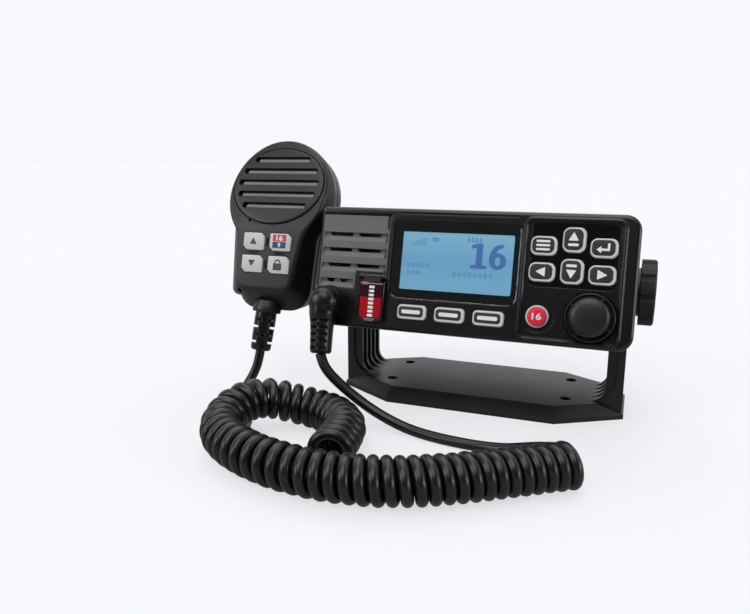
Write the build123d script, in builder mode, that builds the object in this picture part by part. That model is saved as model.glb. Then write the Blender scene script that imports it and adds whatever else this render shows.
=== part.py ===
from build123d import *
from math import cos, pi, radians, sin, tan
import os

# Fixed-mount VHF marine radio on a gimbal bracket, with a fist microphone on its side hanger.
# X runs along the radio's width, Y to its back and Z up, in millimetres.
# The origin is the centre of the four base bolts, on the surface that the bracket stands on.

# Tilt axis and front face. Face positions are (u, w, n): u to the right, w up the face, n out of it.
AXIS_Z = 66.8
TILT = 14.4
FACE_AHEAD = 53.0

# Bracket
BASE_LIP = 2.5
PLATE_TOP = 7.8
BOLT_X = 101.0
BOLT_Y = 34.0
BOLT_HOLE_R = 3.0
LEG_IN = 76.0
LEG_OUT = 80.0
LEG_HALF = 16.2
LEG_HEAD_R = 24.0
BOSS_OUT = 84.0
BOSS_R = 13.0
RIB_IN = 71.0
RIB_WIDTH = 2.6
RIB_TOP = 51.0
RIB_PITCH = 6.8

# Clamp knobs and studs
KNOB_R = 17.7
KNOB_LENGTH = 7.7
STUD_R = 3.0
STUD_END = 61.0
HANGER_SHEET = 1.5

# Radio front
FRONT_W = 165.0
FRONT_H = 65.0
BEZEL_DEPTH = 22.0
WALL = 3.0
SIDE_WALL = 2.5
LEFT_CORNER_R = 2.2
RIGHT_CORNER_R = 7.5
FRONT_EDGE_R = 2.0

GRILLE_LEFT = -80.9
GRILLE_RIGHT = -42.0
GRILLE_TOP = 28.4
GRILLE_BOTTOM = -12.0
NOTCH_U = -59.4
NOTCH_W = -2.0
SLOT_PITCH = 8.4
SLOT_TOP = 17.5
SLOT_H = 2.2
SLOT_COUNT = 4
SLOT_R = 0.9
SLOT_MARGIN = 1.2
GROOVE = 0.7
GROOVE_DEPTH = 0.8

WINDOW_U = -6.5
WINDOW_W = 6.0
WINDOW_WIDTH = 67.0
WINDOW_HEIGHT = 42.0
WINDOW_R = 4.9
WINDOW_SHEET = 1.9
LCD_U = -5.6
LCD_W = 5.3
LCD_VIEW = (58.8, 30.5)
LCD_OPENING = (61.2, 33.0)
LCD_SIZE = (63.0, 36.0)

PAD_U = 52.75
PAD_W = 11.6
PAD_WIDTH = 40.5
PAD_HEIGHT = 31.2
PAD_R = 2.9
PAD_SHEET = 1.3
SINK_IN = 0.3

SOFT_W = -22.0
SOFT_U = -5.8
SOFT_PITCH = 20.0
SOFT_SIZE = (15.6, 7.6)
SOFT_R = 2.2
SIDE_R = 3.2
MIDDLE_R = 3.4
SIDE_KEY = (12.6, 9.4)
MIDDLE_KEY = (10.8, 12.2)
KEY_RISE = 1.5
KEY_GAP = 0.3
FLANGE = 0.7

RED_U = 37.9
RED_W = -18.9
RED_R = 5.5
DIAL_U = 62.5
DIAL_W = -17.6
DIAL_R = 11.7
DIAL_RISE = 12.0

COVER_U = -48.4
COVER_HINGE_W = -4.8
COVER_HINGE_N = 1.7
COVER_WIDTH = 14.2
COVER_BOTTOM = -29.0

PLUG_U = -72.5
PLUG_W = -20.3

# Case behind the front
CASE_HALF_W = 69.5
CASE_HALF_H = 29.5
CASE_FRONT = -22.8
CASE_BACK = -100.0
CASE_WALL = 2.5
CASE_R = 4.0

# Microphone. Its face is parallel to the radio's face.
MIC_U = -120.3
MIC_FRONT = -10.0
MIC_SPLIT = -22.0
MIC_BACK = -40.0
HEAD_W = 41.0
HEAD_R = 34.0
HEAD_TAPER = 3.2
HEAD_SHIFT = -1.5
MIC_SHELL = 2.2
LEAN = 12.0
LEAN_FOOT_W = 22.0

# Cord
CORD_R = 2.7
COIL_R = 10.5
FLOOR_GAP = 0.1

os.makedirs("parts", exist_ok=True)

C = cos(radians(TILT))
S = sin(radians(TILT))
FACE = Plane(origin=(0, -FACE_AHEAD * C, AXIS_Z + FACE_AHEAD * S), x_dir=(1, 0, 0), z_dir=(0, -C, S))


def on_face(u, w, n):
    """Plane parallel to the front face, with its origin at a face position."""
    return Plane(origin=FACE.from_local_coords(Vector(u, w, n)), x_dir=FACE.x_dir, z_dir=FACE.z_dir)


def facing_up(u, w, n):
    """Plane across the face: its x runs along u, its y towards the back and its normal up the face."""
    return Plane(origin=FACE.from_local_coords(Vector(u, w, n)), x_dir=FACE.x_dir, z_dir=FACE.y_dir)


def across(x, side):
    """Plane across the tilt axis at x, facing out to that side of the radio."""
    return Plane(origin=(x, 0, AXIS_Z), x_dir=(0, -side, 0), z_dir=(side, 0, 0))


def block(plane, width, height, depth, corner=0.0, mode=Mode.ADD):
    """Plain or round-cornered rectangle, extruded to the back of its plane."""
    with BuildSketch(plane) as outline:
        if corner > 0:
            RectangleRounded(width, height, corner)
        else:
            Rectangle(width, height)
    extrude(outline.sketch, amount=-depth, mode=mode)


def disc(plane, radius, depth, mode=Mode.ADD):
    """Circle, extruded to the back of its plane."""
    with BuildSketch(plane) as outline:
        Circle(radius)
    extrude(outline.sketch, amount=-depth, mode=mode)


# ---------------------------------------------------------------- bracket

BASE_OUTLINE = [(81, -17), (81, 17), (47, 37.6), (-47, 37.6), (-81, 17), (-81, -17), (-47, -37.6), (47, -37.6)]
PLATE_OUTLINE = [(67, -19), (67, 19), (46, 31), (-46, 31), (-67, 19), (-67, -19), (-46, -31), (46, -31)]
RECESS_OUTLINE = [(70, -14), (70, 14), (45, 28), (-45, 28), (-70, 14), (-70, -14), (-45, -28), (45, -28)]
RECESS_TOP = 4.6
BOLT_BOSS_R = 7.0
CORNER_FOOT = 63.0
CORNER_R = LEG_IN - CORNER_FOOT
RIB_R = RIB_IN - CORNER_FOOT

with BuildPart() as mounting_bracket:
    with BuildSketch(Plane.XY):
        Polygon(*BASE_OUTLINE)
    extrude(amount=BASE_LIP)
    with BuildSketch(Plane.XY.offset(BASE_LIP)):
        Polygon(*BASE_OUTLINE)
    with BuildSketch(Plane.XY.offset(PLATE_TOP)):
        Polygon(*PLATE_OUTLINE)
    loft()
    # One leg, with its rounded foot, its round head and the ribs inside it.
    with BuildSketch(Plane.XZ):
        with BuildLine():
            Polyline((CORNER_FOOT, BASE_LIP), (CORNER_FOOT, PLATE_TOP))
            ThreePointArc(
                (CORNER_FOOT, PLATE_TOP),
                (LEG_IN - CORNER_R * (1 - cos(pi / 4)), PLATE_TOP + CORNER_R * (1 - cos(pi / 4))),
                (LEG_IN, PLATE_TOP + CORNER_R),
            )
            Polyline((LEG_IN, PLATE_TOP + CORNER_R), (LEG_IN, AXIS_Z), (LEG_OUT, AXIS_Z), (LEG_OUT, BASE_LIP),
                     (CORNER_FOOT, BASE_LIP))
        make_face()
    extrude(amount=LEG_HALF, both=True)
    disc(across(LEG_OUT, 1), LEG_HEAD_R, LEG_OUT - LEG_IN)
    disc(across(BOSS_OUT, 1), BOSS_R, BOSS_OUT - LEG_OUT)
    for row in range(5):
        with BuildSketch(Plane.XZ.offset((row - 2) * RIB_PITCH)):
            with BuildLine():
                ThreePointArc(
                    (CORNER_FOOT, PLATE_TOP),
                    (RIB_IN - RIB_R * (1 - cos(pi / 4)), PLATE_TOP + RIB_R * (1 - cos(pi / 4))),
                    (RIB_IN, PLATE_TOP + RIB_R),
                )
                Polyline((RIB_IN, PLATE_TOP + RIB_R), (RIB_IN, RIB_TOP - RIB_R), (LEG_IN + 1, RIB_TOP),
                         (LEG_IN + 1, PLATE_TOP - 1), (CORNER_FOOT, PLATE_TOP - 1), (CORNER_FOOT, PLATE_TOP))
            make_face()
        extrude(amount=RIB_WIDTH / 2, both=True)
    disc(across(BOSS_OUT, 1), STUD_R + 0.3, BOSS_OUT - RIB_IN, mode=Mode.SUBTRACT)
    split(bisect_by=Plane.YZ)
    mirror(about=Plane.YZ)
    # Hollow underside with a boss round each bolt hole.
    with BuildSketch(Plane.XY):
        Polygon(*RECESS_OUTLINE)
        with GridLocations(BOLT_X, BOLT_Y, 2, 2):
            Circle(BOLT_BOSS_R, mode=Mode.SUBTRACT)
    extrude(amount=RECESS_TOP, mode=Mode.SUBTRACT)
    with BuildSketch(Plane.XY):
        with GridLocations(BOLT_X, BOLT_Y, 2, 2):
            Circle(BOLT_HOLE_R)
    extrude(amount=PLATE_TOP, mode=Mode.SUBTRACT)
mounting_bracket.part.label = "mounting_bracket"
export_step(mounting_bracket.part, "parts/mounting_bracket.step")

# Sheet hanger for the microphone: an ear clamped under the left knob and a slotted wing behind the microphone.
EAR = Plane(origin=(-BOSS_OUT - HANGER_SHEET, 0, AXIS_Z), x_dir=(0, -C, S), z_dir=(-1, 0, 0))
EAR_R = 11.0
WING_FRONT = -41.5
WING_BOTTOM = 17.5
WING_STEP = 31.0
WING_TOP = 50.0
WING_OUT = -138.0
WING_IN = -100.0
BUTTON_W = 35.6
BUTTON_STEM_R = 3.0
SLOT_GAP = 0.3

with BuildPart() as mic_hanger:
    with BuildSketch(EAR):
        Circle(EAR_R)
        with Locations((WING_FRONT + FACE_AHEAD - HANGER_SHEET / 2, (WING_BOTTOM + WING_STEP) / 2)):
            Rectangle(HANGER_SHEET, WING_STEP - WING_BOTTOM)
        make_hull()
        Circle(STUD_R + 0.3, mode=Mode.SUBTRACT)
    extrude(amount=-HANGER_SHEET)
    with BuildSketch(on_face(0, 0, WING_FRONT)):
        with BuildLine():
            Polyline((-BOSS_OUT, WING_BOTTOM), (WING_OUT, WING_BOTTOM), (WING_OUT, WING_TOP), (WING_IN, WING_TOP),
                     (WING_IN, WING_STEP), (-BOSS_OUT, WING_STEP), close=True)
        wing = make_face()
        fillet(wing.vertices().group_by(Axis.X)[0], 4)
        with Locations((MIC_U, (BUTTON_W + WING_TOP) / 2)):
            Rectangle(2 * (BUTTON_STEM_R + SLOT_GAP), WING_TOP - BUTTON_W, mode=Mode.SUBTRACT)
        with Locations((MIC_U, BUTTON_W)):
            Circle(BUTTON_STEM_R + SLOT_GAP, mode=Mode.SUBTRACT)
    extrude(amount=-HANGER_SHEET)
mic_hanger.part.label = "mic_hanger"
export_step(mic_hanger.part, "parts/mic_hanger.step")

# Fluted clamp knobs. The left one also clamps the hanger's ear.
FLUTES = 10
FLUTE_R = 2.4
STUD_IN_KNOB = 5.0
KNOB_GAP = 0.1

for side, name in ((-1, "left"), (1, "right")):
    foot = side * (BOSS_OUT + KNOB_GAP + (HANGER_SHEET if side < 0 else 0))
    with BuildPart() as clamp_knob:
        with BuildSketch(across(foot, side)):
            Circle(KNOB_R)
            with PolarLocations(KNOB_R + FLUTE_R * 0.45, FLUTES):
                Circle(FLUTE_R, mode=Mode.SUBTRACT)
        extrude(amount=KNOB_LENGTH)
        chamfer(clamp_knob.faces().sort_by(Axis.X)[-1 if side > 0 else 0].edges(), 0.8)
        disc(across(foot + side * STUD_IN_KNOB, side), STUD_R, STUD_IN_KNOB, mode=Mode.SUBTRACT)
    clamp_knob.part.label = f"{name}_clamp_knob"
    export_step(clamp_knob.part, f"parts/{name}_clamp_knob.step")
    with BuildPart() as stud:
        disc(across(foot + side * STUD_IN_KNOB, side), STUD_R, abs(foot) + STUD_IN_KNOB - STUD_END)
        chamfer(stud.faces().sort_by(Axis.X)[0 if side > 0 else -1].edges(), 0.6)
    stud.part.label = f"{name}_stud"
    export_step(stud.part, f"parts/{name}_stud.step")

# ---------------------------------------------------------------- radio front

KEYS = {
    "soft_key_left": (SOFT_U - SOFT_PITCH, SOFT_W, SOFT_SIZE, SOFT_R),
    "soft_key_middle": (SOFT_U, SOFT_W, SOFT_SIZE, SOFT_R),
    "soft_key_right": (SOFT_U + SOFT_PITCH, SOFT_W, SOFT_SIZE, SOFT_R),
    "clear_key": (38.5, 15.7, SIDE_KEY, SIDE_R),
    "up_key": (52.6, 19.1, MIDDLE_KEY, MIDDLE_R),
    "enter_key": (66.5, 15.7, SIDE_KEY, SIDE_R),
    "left_key": (38.5, 2.8, SIDE_KEY, SIDE_R),
    "down_key": (52.6, 3.8, MIDDLE_KEY, MIDDLE_R),
    "right_key": (66.5, 2.8, SIDE_KEY, SIDE_R),
}
DISTRESS_KEY = (9.4, 11.0)
DISTRESS_R = 1.0
DISTRESS_RISE = 1.0
DISTRESS_KEY_W = -20.5
POCKET_TOP = -9.0
POCKET_BOTTOM = -28.0
POCKET_DEPTH = 1.4
POCKET_LEDGE = 1.6
FRAME_LEFT = 28.2
FRAME_RIGHT = 76.6
FRAME_TOP = 29.9
FRAME_BOTTOM = -31.2
FRAME_R = 4.5
FRAME_WIDTH = 1.9
FRAME_RISE = 1.6
FRAME_CHAMFER = 0.5
RED_RECESS_R = 7.9
RECESS_DEPTH = 0.8
DIAL_RECESS_R = 12.3
BUSH_R = 3.5
SOCKET_R = 6.5
LUG_R = 1.6
PIN_R = 0.8
LUG_IN = COVER_WIDTH / 2 - 2.0
LUG_OUT = COVER_WIDTH / 2 + 0.6
OUT = Axis((0, 0, 0), FACE.z_dir)
BACK_OPENING = (134.0, 54.0)
BACK_OPENING_R = 3.0
SPEAKER_U = -61.2
SPEAKER_W = 7.8


def grille_plate(gap, mode=Mode.ADD):
    """Speaker insert, with its lower right corner cut away for the distress cover."""
    outline = [(GRILLE_LEFT, GRILLE_TOP), (GRILLE_RIGHT, GRILLE_TOP), (GRILLE_RIGHT, NOTCH_W), (NOTCH_U, NOTCH_W),
               (NOTCH_U, GRILLE_BOTTOM), (GRILLE_LEFT, GRILLE_BOTTOM)]
    with BuildSketch(FACE) as plate:
        Polygon(*outline)
        offset(amount=-gap)
    extrude(plate.sketch, amount=-WALL, mode=mode)


with BuildPart() as front_bezel:
    with BuildSketch(FACE) as front:
        Rectangle(FRONT_W, FRONT_H)
        fillet(front.vertices().sort_by(Axis.X)[:2], LEFT_CORNER_R)
        fillet(front.vertices().sort_by(Axis.X)[-2:], RIGHT_CORNER_R)
    extrude(front.sketch, amount=-BEZEL_DEPTH)
    fillet(front_bezel.faces().sort_by(OUT)[-1].edges(), FRONT_EDGE_R)
    # Raised frame round the keypad, the call key and the dial.
    with BuildSketch(on_face((FRAME_LEFT + FRAME_RIGHT) / 2, (FRAME_TOP + FRAME_BOTTOM) / 2, FRAME_RISE)) as raised:
        RectangleRounded(FRAME_RIGHT - FRAME_LEFT, FRAME_TOP - FRAME_BOTTOM, FRAME_R)
        offset(amount=-FRAME_WIDTH, mode=Mode.SUBTRACT)
    extrude(raised.sketch, amount=-FRAME_RISE - 1)
    chamfer(front_bezel.faces().sort_by(OUT)[-1].edges(), FRAME_CHAMFER)
    # Hollow inside, open to the case through its back wall.
    block(on_face(0, 0, -WALL), FRONT_W - 2 * SIDE_WALL, FRONT_H - 2 * SIDE_WALL,
          BEZEL_DEPTH - WALL - SIDE_WALL, 2.0, mode=Mode.SUBTRACT)
    block(on_face(0, 0, -WALL), *BACK_OPENING, BEZEL_DEPTH, BACK_OPENING_R, mode=Mode.SUBTRACT)
    # Speaker opening, and grooves along its top, its upper right edge and above the window.
    grille_plate(0, mode=Mode.SUBTRACT)
    block(on_face((GRILLE_LEFT + GRILLE_RIGHT + GROOVE) / 2, GRILLE_TOP + GROOVE / 2, 0),
          GRILLE_RIGHT - GRILLE_LEFT + GROOVE, GROOVE, GROOVE_DEPTH, mode=Mode.SUBTRACT)
    block(on_face(GRILLE_RIGHT + GROOVE / 2, GRILLE_TOP - 2 + GROOVE, 0), GROOVE, 4, GROOVE_DEPTH, mode=Mode.SUBTRACT)
    block(on_face(WINDOW_U, (WINDOW_W + WINDOW_HEIGHT / 2 + FRONT_H / 2) / 2, 0), WINDOW_WIDTH - 2 * WINDOW_R + 6,
          GROOVE, GROOVE_DEPTH / 2, mode=Mode.SUBTRACT)
    # Lugs that carry the cover's hinge pin, and the pocket under the cover.
    for end in (-1, 1):
        lug_middle = COVER_U + end * (LUG_IN + LUG_OUT) / 2
        lug_end = FACE.from_local_coords(Vector(lug_middle + (LUG_OUT - LUG_IN) / 2, COVER_HINGE_W, COVER_HINGE_N))
        disc(Plane(origin=lug_end, x_dir=FACE.y_dir, z_dir=(1, 0, 0)), LUG_R, LUG_OUT - LUG_IN)
        block(on_face(lug_middle, COVER_HINGE_W, COVER_HINGE_N), LUG_OUT - LUG_IN, 2 * LUG_R, COVER_HINGE_N + 1)
    pin_end = FACE.from_local_coords(Vector(COVER_U + LUG_OUT, COVER_HINGE_W, COVER_HINGE_N))
    disc(Plane(origin=pin_end, x_dir=FACE.y_dir, z_dir=(1, 0, 0)), PIN_R, 2 * LUG_OUT, mode=Mode.SUBTRACT)
    block(on_face(COVER_U, (POCKET_TOP + POCKET_BOTTOM) / 2, 0), COVER_WIDTH - 2 * POCKET_LEDGE,
          POCKET_TOP - POCKET_BOTTOM, POCKET_DEPTH, DISTRESS_R, mode=Mode.SUBTRACT)
    block(on_face(COVER_U, DISTRESS_KEY_W, 0), DISTRESS_KEY[0] + 2 * KEY_GAP, DISTRESS_KEY[1] + 2 * KEY_GAP,
          WALL, DISTRESS_R + KEY_GAP, mode=Mode.SUBTRACT)
    # Window pocket with the display opening in its floor.
    block(on_face(WINDOW_U, WINDOW_W, 0), WINDOW_WIDTH + 0.2, WINDOW_HEIGHT + 0.2, WINDOW_SHEET + SINK_IN,
          WINDOW_R + 0.1, mode=Mode.SUBTRACT)
    block(on_face(LCD_U, LCD_W, 0), *LCD_OPENING, WALL, 1.0, mode=Mode.SUBTRACT)
    # Keypad pocket and the holes for every key.
    block(on_face(PAD_U, PAD_W, 0), PAD_WIDTH + 0.2, PAD_HEIGHT + 0.2, PAD_SHEET + SINK_IN, PAD_R + 0.1,
          mode=Mode.SUBTRACT)
    for u, w, size, corner in KEYS.values():
        block(on_face(u, w, 0), size[0] + 2 * KEY_GAP, size[1] + 2 * KEY_GAP, WALL, corner + KEY_GAP,
              mode=Mode.SUBTRACT)
    disc(on_face(RED_U, RED_W, 0), RED_RECESS_R, RECESS_DEPTH, mode=Mode.SUBTRACT)
    disc(on_face(RED_U, RED_W, 0), RED_R + KEY_GAP, WALL, mode=Mode.SUBTRACT)
    disc(on_face(DIAL_U, DIAL_W, FRAME_RISE), DIAL_RECESS_R, FRAME_RISE + RECESS_DEPTH, mode=Mode.SUBTRACT)
    disc(on_face(DIAL_U, DIAL_W, 0), BUSH_R, WALL, mode=Mode.SUBTRACT)
    disc(on_face(PLUG_U, PLUG_W, 0), SOCKET_R, WALL, mode=Mode.SUBTRACT)
front_bezel.part.label = "front_bezel"
export_step(front_bezel.part, "parts/front_bezel.step")

# Louvred insert in front of the speaker.
with BuildPart() as speaker_grille:
    grille_plate(0.05)
    for row in range(SLOT_COUNT):
        slot_w = SLOT_TOP - row * SLOT_PITCH
        slot_end = (GRILLE_RIGHT if slot_w > NOTCH_W else NOTCH_U) - SLOT_MARGIN
        slot_start = GRILLE_LEFT + SLOT_MARGIN
        block(on_face((slot_start + slot_end) / 2, slot_w, 0), slot_end - slot_start, SLOT_H, WALL, SLOT_R,
              mode=Mode.SUBTRACT)
speaker_grille.part.label = "speaker_grille"
export_step(speaker_grille.part, "parts/speaker_grille.step")

# Loudspeaker: a steel basket with its magnet, and the cone hung in its rim.
BASKET_R = 17.6
BASKET_FRONT = -3.1
RIM_DEPTH = 2.0
BASKET_DEPTH = 8.0
MAGNET_R = 9.0
MAGNET_DEPTH = 6.0

with BuildPart() as speaker_basket:
    disc(on_face(SPEAKER_U, SPEAKER_W, BASKET_FRONT), BASKET_R, RIM_DEPTH)
    with BuildSketch(on_face(SPEAKER_U, SPEAKER_W, BASKET_FRONT - RIM_DEPTH)):
        Circle(BASKET_R - 1.5)
    with BuildSketch(on_face(SPEAKER_U, SPEAKER_W, BASKET_FRONT - BASKET_DEPTH)):
        Circle(MAGNET_R)
    loft()
    with BuildSketch(on_face(SPEAKER_U, SPEAKER_W, BASKET_FRONT)):
        Circle(BASKET_R - 2.0)
    with BuildSketch(on_face(SPEAKER_U, SPEAKER_W, BASKET_FRONT - BASKET_DEPTH + 1)):
        Circle(MAGNET_R - 2.0)
    loft(mode=Mode.SUBTRACT)
    disc(on_face(SPEAKER_U, SPEAKER_W, BASKET_FRONT - BASKET_DEPTH), MAGNET_R, MAGNET_DEPTH)
speaker_basket.part.label = "speaker_basket"
export_step(speaker_basket.part, "parts/speaker_basket.step")

CONE_R = 15.0
CONE_TIP_R = 5.0
CONE_DEPTH = 5.0
CONE_SHEET = 0.6

with BuildPart() as speaker_cone:
    for inset, mode in ((0.0, Mode.ADD), (CONE_SHEET, Mode.SUBTRACT)):
        with BuildSketch(on_face(SPEAKER_U, SPEAKER_W, BASKET_FRONT)) as cone_mouth:
            Circle(CONE_R - inset)
        with BuildSketch(on_face(SPEAKER_U, SPEAKER_W, BASKET_FRONT - CONE_DEPTH + inset)) as cone_tip:
            Circle(CONE_TIP_R - inset)
        loft([cone_mouth.sketch.face(), cone_tip.sketch.face()], mode=mode)
speaker_cone.part.label = "speaker_cone"
export_step(speaker_cone.part, "parts/speaker_cone.step")

# Display window, glued into its pocket, and the display behind it.
with BuildPart() as display_window:
    block(on_face(WINDOW_U, WINDOW_W, -SINK_IN), WINDOW_WIDTH, WINDOW_HEIGHT, WINDOW_SHEET, WINDOW_R)
    chamfer(display_window.faces().sort_by(OUT)[-1].edges(), 0.3)
display_window.part.label = "display_window"
export_step(display_window.part, "parts/display_window.step")

LCD_FRONT = -3.1
BOARD_FRONT = -7.2
with BuildPart() as lcd_module:
    block(on_face(LCD_U, LCD_W, LCD_FRONT), *LCD_SIZE, LCD_FRONT - BOARD_FRONT, 0.5)
    block(on_face(LCD_U, LCD_W, LCD_FRONT), *LCD_VIEW, 0.4, mode=Mode.SUBTRACT)
lcd_module.part.label = "lcd_module"
export_step(lcd_module.part, "parts/lcd_module.step")

# Gloss panel round the keypad keys.
with BuildPart() as keypad_panel:
    block(on_face(PAD_U, PAD_W, -SINK_IN), PAD_WIDTH, PAD_HEIGHT, PAD_SHEET, PAD_R)
    for name in list(KEYS)[3:]:
        u, w, size, corner = KEYS[name]
        block(on_face(u, w, 0), size[0] + 2 * KEY_GAP, size[1] + 2 * KEY_GAP, WALL, corner + KEY_GAP,
              mode=Mode.SUBTRACT)
keypad_panel.part.label = "keypad_panel"
export_step(keypad_panel.part, "parts/keypad_panel.step")

# Keys: a cap through the front and a wider foot behind it, which keeps the key in.
FOOT_TOP = -3.1
FOOT_DEPTH = 1.0
KEY_CHAMFER = 0.4

for name, (u, w, size, corner) in KEYS.items():
    with BuildPart() as key:
        block(on_face(u, w, KEY_RISE), *size, KEY_RISE - FOOT_TOP, corner)
        chamfer(key.faces().sort_by(OUT)[-1].edges(), KEY_CHAMFER)
        block(on_face(u, w, FOOT_TOP), size[0] + 2 * FLANGE, size[1] + 2 * FLANGE, FOOT_DEPTH, corner)
    key.part.label = name
    export_step(key.part, f"parts/{name}.step")

RED_CAP_R = 4.7
RED_RING_RISE = 0.9
RED_CAP_RISE = 1.9
with BuildPart() as red_key:
    disc(on_face(RED_U, RED_W, RED_RING_RISE), RED_R, RED_RING_RISE - FOOT_TOP)
    disc(on_face(RED_U, RED_W, RED_CAP_RISE), RED_CAP_R, RED_CAP_RISE)
    chamfer(red_key.faces().sort_by(OUT)[-1].edges(), KEY_CHAMFER)
    disc(on_face(RED_U, RED_W, FOOT_TOP), RED_R + FLANGE + 0.3, FOOT_DEPTH)
red_key.part.label = "red_key"
export_step(red_key.part, "parts/red_key.step")

with BuildPart() as distress_key:
    block(on_face(COVER_U, DISTRESS_KEY_W, DISTRESS_RISE), *DISTRESS_KEY, DISTRESS_RISE - FOOT_TOP, DISTRESS_R)
    chamfer(distress_key.faces().sort_by(OUT)[-1].edges(), KEY_CHAMFER)
    block(on_face(COVER_U, DISTRESS_KEY_W, FOOT_TOP), DISTRESS_KEY[0] + 2 * FLANGE, DISTRESS_KEY[1] + 2 * FLANGE,
          FOOT_DEPTH, DISTRESS_R)
distress_key.part.label = "distress_key"
export_step(distress_key.part, "parts/distress_key.step")

# Spring cover over the distress key: a barrel on the hinge pin and a shallow box below it.
COVER_FRONT = 3.2
COVER_SHEET = 1.2
COVER_BACK = 0.15
BARREL_HALF = LUG_IN - 0.3
BARREL_R = 1.5
BOX_TOP = -7.4

with BuildPart() as distress_cover:
    block(on_face(COVER_U, (BOX_TOP + COVER_BOTTOM) / 2, COVER_FRONT), COVER_WIDTH, BOX_TOP - COVER_BOTTOM,
          COVER_FRONT - COVER_BACK, 1.2)
    fillet(distress_cover.faces().sort_by(OUT)[-1].edges(), 0.6)
    barrel_end = FACE.from_local_coords(Vector(COVER_U + BARREL_HALF, COVER_HINGE_W, COVER_HINGE_N))
    disc(Plane(origin=barrel_end, x_dir=FACE.y_dir, z_dir=(1, 0, 0)), BARREL_R, 2 * BARREL_HALF)
    block(on_face(COVER_U, (BOX_TOP + COVER_HINGE_W) / 2 - 0.5, COVER_FRONT - 0.2), 2 * BARREL_HALF,
          COVER_HINGE_W - BOX_TOP + 1, COVER_SHEET)
    block(on_face(COVER_U, (BOX_TOP + COVER_BOTTOM) / 2, COVER_FRONT - COVER_SHEET), COVER_WIDTH - 2 * COVER_SHEET,
          BOX_TOP - COVER_BOTTOM - 2 * COVER_SHEET, COVER_FRONT, 0.8, mode=Mode.SUBTRACT)
    disc(Plane(origin=barrel_end, x_dir=FACE.y_dir, z_dir=(1, 0, 0)), PIN_R + 0.05, 2 * BARREL_HALF,
         mode=Mode.SUBTRACT)
distress_cover.part.label = "distress_cover"
export_step(distress_cover.part, "parts/distress_cover.step")

with BuildPart() as hinge_pin:
    disc(Plane(origin=pin_end, x_dir=FACE.y_dir, z_dir=(1, 0, 0)), PIN_R, 2 * LUG_OUT)
hinge_pin.part.label = "hinge_pin"
export_step(hinge_pin.part, "parts/hinge_pin.step")

# Rubber mat under the keys, round the display and under the keypad.
MAT_TOP = -5.4
MAT_SHEET = 1.7
MAT_R = 1.0
MAT_KEYPAD = (45.0, 34.0)
MAT_SOFT = (60.0, 12.0)
MAT_LINK = (18.0, 46.0)
MAT_LINK_U = 35.9
with BuildPart() as keypad_mat:
    block(on_face(PAD_U, PAD_W, MAT_TOP), *MAT_KEYPAD, MAT_SHEET, MAT_R)
    block(on_face(SOFT_U, SOFT_W, MAT_TOP), *MAT_SOFT, MAT_SHEET, MAT_R)
    block(on_face(MAT_LINK_U, (RED_W + PAD_W) / 2, MAT_TOP), *MAT_LINK, MAT_SHEET, MAT_R)
    block(on_face(LCD_U, LCD_W, MAT_TOP), LCD_SIZE[0] + 1, LCD_SIZE[1] + 1, MAT_SHEET, mode=Mode.SUBTRACT)
keypad_mat.part.label = "keypad_mat"
export_step(keypad_mat.part, "parts/keypad_mat.step")

BOARD_SHEET = 1.6
BOARD_OUTLINE = [(-42, 28), (78, 28), (78, -28), (-58, -28), (-58, -13), (-42, -13)]
with BuildPart() as front_board:
    with BuildSketch(on_face(0, 0, BOARD_FRONT)):
        Polygon(*BOARD_OUTLINE, align=None)
    extrude(amount=-BOARD_SHEET)
front_board.part.label = "front_board"
export_step(front_board.part, "parts/front_board.step")

# Rotary encoder on the front board, with its threaded bush through the front, its shaft and the knob.
ENCODER_TOP = -3.1
BUSH_TOP = 1.6
SHAFT_TOP = 9.0
SHAFT_END = -6.4
SHAFT_R = 2.5
ENCODER_SIZE = (12.0, 13.0)
with BuildPart() as encoder:
    block(on_face(DIAL_U, DIAL_W, ENCODER_TOP), *ENCODER_SIZE, ENCODER_TOP - BOARD_FRONT)
    disc(on_face(DIAL_U, DIAL_W, BUSH_TOP), BUSH_R, BUSH_TOP - ENCODER_TOP)
    disc(on_face(DIAL_U, DIAL_W, BUSH_TOP), SHAFT_R + 0.05, BUSH_TOP - SHAFT_END, mode=Mode.SUBTRACT)
encoder.part.label = "encoder"
export_step(encoder.part, "parts/encoder.step")

with BuildPart() as encoder_shaft:
    disc(on_face(DIAL_U, DIAL_W, SHAFT_TOP), SHAFT_R, SHAFT_TOP - SHAFT_END - 0.1)
encoder_shaft.part.label = "encoder_shaft"
export_step(encoder_shaft.part, "parts/encoder_shaft.step")

SKIRT_BOTTOM = 0.4
SKIRT_TOP = 4.6
GRIP_R = 9.2
NOTCHES = 5
NOTCH_R = 2.4
with BuildPart() as rotary_knob:
    disc(on_face(DIAL_U, DIAL_W, SKIRT_TOP), DIAL_R, SKIRT_TOP - SKIRT_BOTTOM)
    with BuildSketch(on_face(DIAL_U, DIAL_W, SKIRT_TOP)) as grip_foot:
        Circle(GRIP_R)
    with BuildSketch(on_face(DIAL_U, DIAL_W, DIAL_RISE)) as grip_top:
        Circle(GRIP_R - 0.8)
    loft([grip_foot.sketch.face(), grip_top.sketch.face()])
    fillet(rotary_knob.faces().sort_by(OUT)[-1].edges(), 1.6)
    with BuildSketch(on_face(DIAL_U, DIAL_W, SKIRT_TOP)) as notches:
        with PolarLocations(DIAL_R + 1.0, NOTCHES, start_angle=90):
            Circle(NOTCH_R)
    extrude(notches.sketch, amount=-NOTCH_R, mode=Mode.SUBTRACT)
    disc(on_face(DIAL_U, DIAL_W, BUSH_TOP + 0.6), BUSH_R + 1.0, BUSH_TOP + 0.6, mode=Mode.SUBTRACT)
    disc(on_face(DIAL_U, DIAL_W, SHAFT_TOP), SHAFT_R, SHAFT_TOP, mode=Mode.SUBTRACT)
rotary_knob.part.label = "rotary_knob"
export_step(rotary_knob.part, "parts/rotary_knob.step")

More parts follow.
